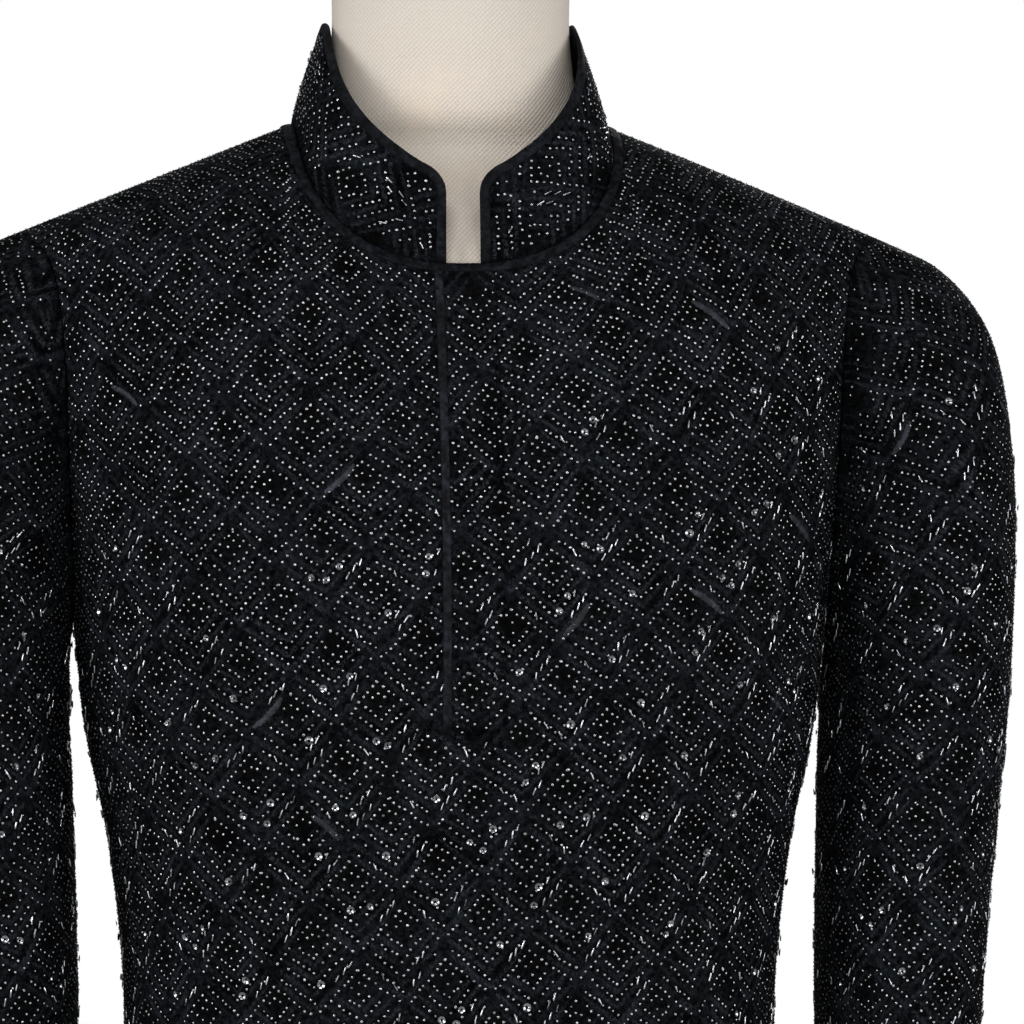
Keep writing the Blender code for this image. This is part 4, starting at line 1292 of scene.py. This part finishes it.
band_half = list(finer([0.5, 5, 10.5, *FRONT_STATIONS, *BACK_STATIONS, 175], 4))
band_angles = [0, *band_half, 180, *[-angle for angle in reversed(band_half)], 0]
band_rows = []
for width, lift, drawn_in in reversed(BAND_SECTION):
    edge = np.array([near_neckline(angle, width) for angle in band_angles])
    inner = np.array([near_neckline(angle, 0.0002) for angle in band_angles])
    outer = np.array([near_neckline(angle, BAND_WIDTH) for angle in band_angles])
    around = np.roll(outer[:-1], -1, axis=0) - np.roll(outer[:-1], 1, axis=0)
    normal = unit(np.cross(np.concatenate([around, around[:1]]), inner - outer))
    angles = np.array(band_angles)
    pucker = PUCKER * (np.sin(angles * 0.9 + width * 260) + np.sin(angles * 1.7 - width * 390))
    pucker[[0, -1]] = 0
    rise = BAND_AIR + BAND_CLOTH * lift + pucker * lift
    away = unit((edge - NECK_MIDDLE) * np.array([1, 1, 0]))
    band_rows.append(edge + normal * rise[:, None] - away * drawn_in)
band_grid = np.array([*band_rows, band_rows[0]])
band_mesh = grid_mesh("neck_band", band_grid, *lengths(band_grid))
closed_up(band_mesh)
band = piece("neck_band", band_mesh, trim_finish)
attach(band, "root")
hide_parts("neckline_band")


# Seed beads
# Silver-lined glass beads sewn on one by one, in arches and nested V rows inside each diamond.
BEAD_RADIUS = 0.00060
BEAD_STEP = 0.0035
BEAD_ROWS = (0.41, 0.54, 0.67, 0.81)  # share of the way down a diamond where each V row turns
ARCH_ROW = 0.09
BEAD_STRAY = 0.009  # from its place in the diamond
BEAD_TIP = 0.10
BEADS_LOST = 0.06  # share of the places without a bead
ANY_TURN = 6.28  # beads and sequins lie turned by up to this
RICH_BELOW_Z = 1.31  # bugles and sequins begin here, and are thickest a little lower

dice = np.random.default_rng(7)


def row_of(start, end):
    """Places at the bead step along a row between two places in the pattern."""
    start, end = np.array(start), np.array(end)
    length = np.linalg.norm(np.stack([SIDE_A, SIDE_B], axis=1) @ (end - start))
    count = max(1, round(length / BEAD_STEP))
    return [start + (end - start) * (k + 0.5) / count for k in range(count)]


def bead_places(rich):
    """The beads of one diamond as places in it. On a rich one, bugles take an arm of the lowest V."""
    places = [np.array([MOTIF_CENTRE, MOTIF_CENTRE]), np.array([ARCH_ROW, ARCH_ROW])]
    for turn, reach in [(ARCH_ROW, -0.79), *((turn, turn - 0.10) for turn in BEAD_ROWS)]:
        near, far = 0.05 * reach / abs(reach), reach
        right_arm = row_of((turn + FLARE * far, turn - far), (turn + FLARE * near, turn - near))
        left_arm = row_of((turn - far, turn + FLARE * far), (turn - near, turn + FLARE * near))
        places += left_arm + (right_arm[:1] if rich and turn == BEAD_ROWS[3] else right_arm)
        places.append(np.array([turn, turn]))
    places += [np.array([0.30, 0.30]), np.array([0.30, 0.16]), np.array([0.16, 0.30])]
    return np.array(places)


def zone(points):
    """How rich the work is at points of the coat, from 0 high on the chest to 1 lower down."""
    start = RICH_BELOW_Z + 0.45 * np.clip(points[:, 0], -0.10, 0.10)
    return np.clip((start - points[:, 2]) / 0.10, 0, 1) ** 0.8


def cells_over(laid):
    """Every diamond of the pattern that touches a piece, as whole numbers, and its middle on the piece."""
    inside = np.floor(np.stack(laid.lattice(), axis=-1).reshape(-1, 2))
    cells, number, count = np.unique(inside, axis=0, return_inverse=True, return_counts=True)
    middles = np.zeros((len(cells), 3))
    np.add.at(middles, number.reshape(-1), laid.points.reshape(-1, 3))
    return cells, middles / count[:, None]


def frames_on(normals):
    """For each normal, a direction to the right and one up that lie in the cloth."""
    up = np.array([0.0, 0.0, 1.0]) - normals * normals[:, [2]]
    up = unit(up + np.array([0.0, 1e-5, 0.0]))
    return np.cross(up, normals), up


def joined(name, shape_points, shape_faces, places, normals, turns, scales, material, slot="beads"):
    """Many copies of one small shape as a joined mesh, each set on the cloth and turned in it."""
    right, up = frames_on(normals)
    cos, sin = np.cos(turns)[:, None], np.sin(turns)[:, None]
    axes = np.stack([right * cos + up * sin, up * cos - right * sin, normals], axis=1)
    local = np.array(shape_points)[None] * scales[:, None, None]
    points = np.einsum("nkc,ncd->nkd", local, axes) + places[:, None]
    count, size = len(places), len(shape_points)
    corners = np.concatenate([np.array(face) for face in shape_faces])
    loops = (corners[None] + np.arange(count)[:, None] * size).reshape(-1)
    starts = np.cumsum([0] + [len(face) for face in shape_faces])[:-1]
    starts = (starts[None] + np.arange(count)[:, None] * len(corners)).reshape(-1)
    mesh = bpy.data.meshes.new(name)
    mesh.vertices.add(count * size)
    mesh.vertices.foreach_set("co", points.astype(np.float32).reshape(-1))
    mesh.loops.add(len(loops))
    mesh.loops.foreach_set("vertex_index", loops.astype(np.int32))
    mesh.polygons.add(len(starts))
    mesh.polygons.foreach_set("loop_start", starts.astype(np.int32))
    mesh.update(calc_edges=True)
    mesh.validate()
    mesh.shade_smooth()
    obj = piece(name, mesh, material)
    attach(obj, "root")
    return obj


def dome(sides, flat=0.72):
    """A bead as a small dome: a ring near the cloth and a top."""
    points = []
    for k in range(sides):
        turn = 2 * math.pi * k / sides
        points.append((math.cos(turn), math.sin(turn), 0.25 * flat))
    points.append((0, 0, 1.25 * flat))
    faces = [(k, (k + 1) % sides, sides) for k in range(sides)]
    return [tuple(BEAD_RADIUS * value for value in point) for point in points], faces


def glinting(name, mottle, dark, light, roughness, **sockets):
    """Glass or film between two colours and two roughnesses, by one unevenness."""
    finish = Finish(name, **sockets)
    uneven = finish.mottle(*mottle)
    finish.feed("Base Color", mixed(finish.tree, uneven, dark, light))
    finish.ranged("Roughness", uneven, *roughness)
    return finish.material


bead_finish = glinting("silver-lined bead glass", (420.0, 3.4), (0.05, 0.05, 0.053), (0.41, 0.415, 0.43),
                       (0.40, 0.24), Metallic=0.7, Coat_Weight=0.4, Coat_Roughness=0.1)
PLAIN_BEADS, RICH_BEADS = bead_places(False), bead_places(True)


def anywhere(points):
    return np.ones(len(points), bool)


def sew_beads(name, laid, sides, allowed=anywhere, richness=None, margin=0.0012):
    """Lays the beads of every diamond on a piece of cloth, and returns the rich diamonds."""
    cells, middles = cells_over(laid)
    rich = dice.random(len(cells)) < (zone(middles) if richness is None else richness)
    places = [cells[rich][:, None] + RICH_BEADS[None], cells[~rich][:, None] + PLAIN_BEADS[None]]
    places = np.concatenate([group.reshape(-1, 2) for group in places])
    places = places + dice.normal(0, BEAD_STRAY, places.shape)
    places = places[dice.random(len(places)) > BEADS_LOST]
    points, normals, keep = laid.place(places, margin)
    keep &= allowed(points)
    points, normals = points[keep], normals[keep]
    normals = unit(normals + dice.normal(0, BEAD_TIP, normals.shape))
    scales = np.clip(dice.normal(1.0, 0.10, len(points)), 0.7, 1.25)
    joined(name, *dome(sides), points, normals, dice.random(len(points)) * ANY_TURN, scales, bead_finish)
    return cells[rich]


def off_placket(points):
    """Places on the front that the placket doesn't cover."""
    return (np.abs(points[:, 0]) > PLACKET_HALF_WIDTH + 0.0005) | (points[:, 2] < PLACKET_END_Z - 0.001)


def off_neck_band(points):
    """Places clear of the plain strip round the neckline."""
    edge = np.array([neckline_point(angle) for angle in range(-180, 180, 2)])
    nearest = np.min(np.linalg.norm(points[:, None] - edge[None], axis=2), axis=1)
    return nearest > BAND_WIDTH + 0.0012


def off_placket_top(points):
    """Places on the placket below the plain patch under the collar's opening, and off its turned edge."""
    patch = (points[:, 2] > 1.368) & (np.abs(points[:, 0]) < 0.9 * (points[:, 2] - 1.362))
    return ~patch & (points[:, 0] > FOLD_WIDTH + 0.0006 - PLACKET_HALF_WIDTH) & off_neck_band(points)


VIEWED_ABOVE_Z = 0.975


def in_view(points):
    """Places on the front as far down as the photo shows, off the placket and the neckline's strip."""
    return off_placket(points) & (points[:, 2] > VIEWED_ABOVE_Z) & off_neck_band(points)


def below_view(points):
    return points[:, 2] <= VIEWED_ABOVE_Z


rich_cells = {}
rich_cells["front_upper"] = sew_beads("front_beads_upper", front_laid, 8, in_view)
rich_cells["front_lower"] = sew_beads("front_beads_lower", front_laid, 5, below_view)
rich_cells["back"] = sew_beads("back_beads", back_laid, 5, off_neck_band)
rich_cells["placket"] = sew_beads("placket_beads", placket_laid, 8, off_placket_top, margin=0.0003)
rich_cells["sleeve_right"] = sew_beads("sleeve_right_beads", sleeve_laid["sleeve_right"], 6)
rich_cells["sleeve_left"] = sew_beads("sleeve_left_beads", sleeve_laid["sleeve_left"], 5)
rich_cells["collar"] = sew_beads("collar_beads", collar_laid, 8, richness=0.8, margin=0.0058)


# Bugle beads
# Short glass tubes sewn steeply along the right arm of the lowest V rows, and a few along the left.
BUGLE_LENGTH = 0.0041
BUGLE_RADIUS = 0.00045
BUGLE_LEAN = math.radians(16)

# Place in the diamond, lean to the right, place in its run
BUGLES = (
    (0.94, 0.10, 1.0, 0.00), (0.92, 0.23, 1.0, 0.20), (0.90, 0.36, 1.0, 0.40), (0.88, 0.49, 1.0, 0.60),
    (0.86, 0.62, 1.0, 0.80), (0.84, 0.75, 0.8, 1.00), (0.76, 0.26, 1.0, 0.50), (0.74, 0.39, 1.0, 0.70),
    (0.44, 0.88, -1.4, 0.50), (0.70, 0.84, -1.2, 0.90),
)


def tube(sides=5):
    """A bugle: a faceted tube with its ends drawn in a little, lying along the cloth."""
    points = []
    for share, radius in ((-0.5, 0.7), (-0.42, 1.0), (0.42, 1.0), (0.5, 0.7)):
        for k in range(sides):
            turn = 2 * math.pi * (k + 0.5) / sides
            points.append((BUGLE_RADIUS * radius * math.sin(turn), BUGLE_LENGTH * share,
                           BUGLE_RADIUS * (1.0 - radius * math.cos(turn))))
    faces = [tuple(range(sides)), tuple(range(4 * sides - 1, 3 * sides - 1, -1))]
    for ring in range(3):
        for k in range(sides):
            low, high = ring * sides, (ring + 1) * sides
            faces.append((low + k, high + k, high + (k + 1) % sides, low + (k + 1) % sides))
    return points, faces


def heading(laid, places, steps, points, normals):
    """The turn, in the cloth at each point, of a step from its place in the pattern."""
    run = laid.place(places + steps, 0.0)[0] - points
    right, up = frames_on(normals)
    return np.arctan2(-(run * right).sum(axis=1), (run * up).sum(axis=1))


def sew_bugles(name, laid, cells, allowed=anywhere, margin=0.004):
    """Lays a short run of bugles in each rich diamond, stepping up its right arm."""
    marks = np.array(BUGLES)
    places = (cells[:, None] + marks[None, :, :2]).reshape(-1, 2)
    leans = np.tile(marks[:, 2], len(cells)) * BUGLE_LEAN
    starts = dice.random(len(cells))[:, None] * 0.6 - 0.1
    kept = ((marks[None, :, 3] >= starts) & (marks[None, :, 3] <= starts + 0.5)).reshape(-1)
    places = places[kept] + dice.normal(0, 0.010, (kept.sum(), 2))
    leans = leans[kept] + dice.normal(0, 0.10, kept.sum())
    points, normals, keep = laid.place(places, margin)
    keep &= allowed(points)
    places, points, normals, leans = places[keep], points[keep], normals[keep], leans[keep] - laid.turn
    steps = np.stack([np.sin(leans), np.cos(leans)], axis=1) * 0.003 @ np.linalg.inv(laid.sides()).T
    turns = heading(laid, places, steps, points, normals)
    scales = np.clip(dice.normal(1.0, 0.08, len(points)), 0.8, 1.15)
    tilted = unit(normals + dice.normal(0, 0.06, normals.shape))
    joined(name, *tube(), points, tilted, turns, scales, bugle_finish)


bugle_finish = glinting("silver-lined bugle glass", (160.0, 4.0), (0.03, 0.032, 0.036), (0.52, 0.53, 0.56),
                        (0.34, 0.16), Metallic=0.8, Coat_Weight=0.5, Coat_Roughness=0.06)
sew_bugles("front_bugles_upper", front_laid, rich_cells["front_upper"], in_view)
sew_bugles("front_bugles_lower", front_laid, rich_cells["front_lower"], below_view)
sew_bugles("back_bugles", back_laid, rich_cells["back"], off_neck_band)
sew_bugles("placket_bugles", placket_laid, rich_cells["placket"], off_placket_top, margin=0.003)
sew_bugles("sleeve_right_bugles", sleeve_laid["sleeve_right"], rich_cells["sleeve_right"])
sew_bugles("sleeve_left_bugles", sleeve_laid["sleeve_left"], rich_cells["sleeve_left"])
sew_bugles("collar_bugles", collar_laid, rich_cells["collar"], margin=0.008)


# Sequins
# Small cupped gunmetal discs with a middle hole, sewn on above the beads, up to three in a rich diamond.
SEQUIN_RADIUS = 0.0019
SEQUIN_SIDES = 10
SEQUIN_LIFT = 0.0008  # clear of the seed beads
SEQUIN_SHARE = 0.42  # of the places in the rich diamonds have one
SEQUIN_STRAY = 0.03
SEQUIN_TIP = 0.12
SEQUINS = ((0.67, 0.36), (0.47, 0.68), (0.72, 0.60))  # places in the diamond


def cupped_disc():
    """A sequin: rings from the rim down into the cup and to the middle hole."""
    points = []
    for radius, height in ((1.0, 0.38), (0.80, 0.26), (0.58, 0.15), (0.34, 0.06)):
        for k in range(SEQUIN_SIDES):
            turn = 2 * math.pi * k / SEQUIN_SIDES
            points.append((SEQUIN_RADIUS * radius * math.cos(turn), SEQUIN_RADIUS * radius * math.sin(turn),
                           SEQUIN_RADIUS * height + SEQUIN_LIFT))
    faces = []
    for ring in range(3):
        for k in range(SEQUIN_SIDES):
            low, high = ring * SEQUIN_SIDES, (ring + 1) * SEQUIN_SIDES
            faces.append((low + k, low + (k + 1) % SEQUIN_SIDES, high + (k + 1) % SEQUIN_SIDES, high + k))
    return points, faces


def sew_sequins(name, laid, cells, allowed=anywhere, margin=0.004):
    """Lays up to three sequins in each rich diamond, tipped this way and that."""
    places = (cells[:, None] + np.array(SEQUINS)[None]).reshape(-1, 2)
    places = places[dice.random(len(places)) < SEQUIN_SHARE]
    places = places + dice.normal(0, SEQUIN_STRAY, places.shape)
    points, normals, keep = laid.place(places, margin)
    keep &= allowed(points)
    count = keep.sum()
    tilted = unit(normals[keep] + dice.normal(0, SEQUIN_TIP, (count, 3)))
    scales = np.clip(dice.normal(1.0, 0.08, count), 0.8, 1.2)
    joined(name, *cupped_disc(), points[keep], tilted, dice.random(count) * ANY_TURN, scales, sequin_finish)


sequin_finish = glinting("gunmetal sequin film", (60.0, 3.0), (0.100, 0.103, 0.110), (0.260, 0.267, 0.280),
                         (0.27, 0.20), Metallic=1.0, Coat_Weight=0.3, Coat_Roughness=0.05)
sew_sequins("front_sequins_upper", front_laid, rich_cells["front_upper"], in_view)
sew_sequins("front_sequins_lower", front_laid, rich_cells["front_lower"], below_view)
sew_sequins("back_sequins", back_laid, rich_cells["back"], off_neck_band)
sew_sequins("sleeve_right_sequins", sleeve_laid["sleeve_right"], rich_cells["sleeve_right"])
sew_sequins("sleeve_left_sequins", sleeve_laid["sleeve_left"], rich_cells["sleeve_left"])


# Satin bars
# Short padded bars of close black stitching that lie here and there on the borders between the diamonds.
BAR_LENGTH = 0.0215
BAR_HALF_WIDTH = 0.0016
BAR_HEIGHT = 0.0007
BAR_SHARE = 0.08  # of the diamonds have one
BAR_ROWS, BAR_COLUMNS = 25, 7
BARS_ABOVE_Z = 1.05


def padded_bar():
    """A bar lying along y: ribbed by its stitches, uneven at its sides, low at its ends, a little bowed."""
    points, faces = [], []
    for k in range(BAR_ROWS):
        share = k / (BAR_ROWS - 1) * 2 - 1
        ragged = 1 + 0.16 * math.sin(k * 2.3) + 0.10 * math.sin(k * 5.1)
        width = BAR_HALF_WIDTH * (1 - 0.55 * abs(share) ** 4) * ragged
        ribbed = 1 - 0.55 * (k % 2)
        for m in range(BAR_COLUMNS):
            side = m / (BAR_COLUMNS - 1) * 2 - 1
            height = BAR_HEIGHT * (1 - side**2) * (1 - abs(share) ** 4) * ribbed
            points.append((side * width + 0.0012 * share**2, share * BAR_LENGTH / 2, height + 0.0001))
    for k in range(BAR_ROWS - 1):
        for m in range(BAR_COLUMNS - 1):
            low, high = k * BAR_COLUMNS + m, (k + 1) * BAR_COLUMNS + m
            faces.append((low, low + 1, high + 1, high))
    return points, faces


def sew_bars(name, laid, allowed=anywhere, margin=0.012):
    """Lays bars on the borders of some of the diamonds, most of them falling to the right."""
    cells = cells_over(laid)[0]
    cells = cells[dice.random(len(cells)) < BAR_SHARE]
    falling = (dice.random(len(cells)) < 0.75)[:, None]
    places = cells + np.where(falling, [[0.50, 1.01]], [[1.01, 0.50]])
    steps = np.where(falling, [[0.2, -0.2 * FLARE]], [[-0.2 * FLARE, 0.2]])
    points, normals, keep = laid.place(places, margin)
    keep &= points[:, 2] > BARS_ABOVE_Z
    for end in (-1, 1):
        reach = laid.place(places + steps * end, margin)
        keep &= reach[2] & allowed(reach[0])
    places, steps, points, normals = places[keep], steps[keep], points[keep], normals[keep]
    turns = heading(laid, places, steps, points, normals)
    scales = np.clip(dice.normal(1.0, 0.14, len(points)), 0.7, 1.2)
    joined(name, *padded_bar(), points, normals, turns, scales, bar_finish, slot="coat_trim")


BAR_DARK, BAR_LIGHT = (0.0006, 0.0008, 0.0012), (0.0190, 0.0225, 0.0330)


def close_stitching():
    finish = Finish("close black stitching", Metallic=0.0, Specular_IOR_Level=0.2)
    uneven = finish.double_mottle((260.0, 3.6), (60.0, 3.0), 1.1, 0.1)
    finish.feed("Base Color", mixed(finish.tree, uneven, BAR_DARK, BAR_LIGHT))
    finish.ranged("Roughness", uneven, 0.62, 0.46)
    finish.bump(uneven, 0.0004)
    return finish.material


bar_finish = close_stitching()
sew_bars("front_bars", front_laid, off_placket)
sew_bars("back_bars", back_laid)
sew_bars("sleeve_right_bars", sleeve_laid["sleeve_right"])
sew_bars("sleeve_left_bars", sleeve_laid["sleeve_left"])


# Studio
# A plain pale floor and soft white light from all round, with a large key light in front and above.
def studio_white(name, colour):
    finish = Finish(name, Metallic=0.0, Specular_IOR_Level=0.2, Roughness=0.8)
    uneven = finish.mottle(3.0, 0.6)
    finish.feed("Base Color", mixed(finish.tree, uneven, colour, tuple(value * 1.02 for value in colour)))
    return finish.material


SKY_LIGHT = 0.28

floor_mesh = bpy.data.meshes.new("floor")
floor_shape = bmesh.new()
bmesh.ops.create_grid(floor_shape, x_segments=1, y_segments=1, size=9.0)
floor_shape.to_mesh(floor_mesh)
floor_shape.free()
floor = piece("floor", floor_mesh, studio_white("pale floor", (0.45, 0.45, 0.45)))

world = bpy.data.worlds.new("studio")
world.use_nodes = True
sky = world.node_tree.nodes["Background"]
sky.inputs["Color"].default_value = (1.0, 1.0, 1.0, 1)
seen = world.node_tree.nodes.new("ShaderNodeLightPath")
strength = world.node_tree.nodes.new("ShaderNodeMapRange")
world.node_tree.links.new(seen.outputs["Is Camera Ray"], strength.inputs["Value"])
strength.inputs["To Min"].default_value = SKY_LIGHT
strength.inputs["To Max"].default_value = 1.0
world.node_tree.links.new(strength.outputs["Result"], sky.inputs["Strength"])
bpy.context.scene.world = world
bpy.context.scene.view_settings.view_transform = "Standard"

# Name, place, what it points at, size, power
LIGHTS = (
    ("key", (-0.4, -2.4, 3.4), (0.0, 0.0, 1.25), (1.8, 0.6), 50.0),
    ("front left", (-0.9, -3.4, 1.0), (0.0, 0.0, 1.25), (1.2, 1.2), 22.0),
    ("front right", (1.0, -3.4, 1.0), (0.0, 0.0, 1.25), (1.2, 1.2), 24.0),
    ("left", (-2.7, -1.6, 1.6), (0.0, 0.0, 1.30), (1.6, 1.6), 80.0),
    ("right", (2.7, -1.5, 1.6), (0.0, 0.0, 1.35), (1.6, 1.6), 64.0),
    ("behind", (0.9, 3.0, 2.2), (0.0, 0.0, 1.1), (1.6, 1.6), 40.0),
)
for name, place, target, size, power in LIGHTS:
    lamp = bpy.data.lights.new(name, "AREA")
    lamp.shape = "RECTANGLE"
    lamp.size, lamp.size_y = size
    lamp.energy = power
    light = bpy.data.objects.new(name, lamp)
    bpy.context.scene.collection.objects.link(light)
    light.location = place
    direction = np.array(target) - np.array(place)
    light.rotation_euler = (math.atan2(math.hypot(direction[0], direction[1]), -direction[2]), 0,
                            math.atan2(direction[1], direction[0]) - math.pi / 2)
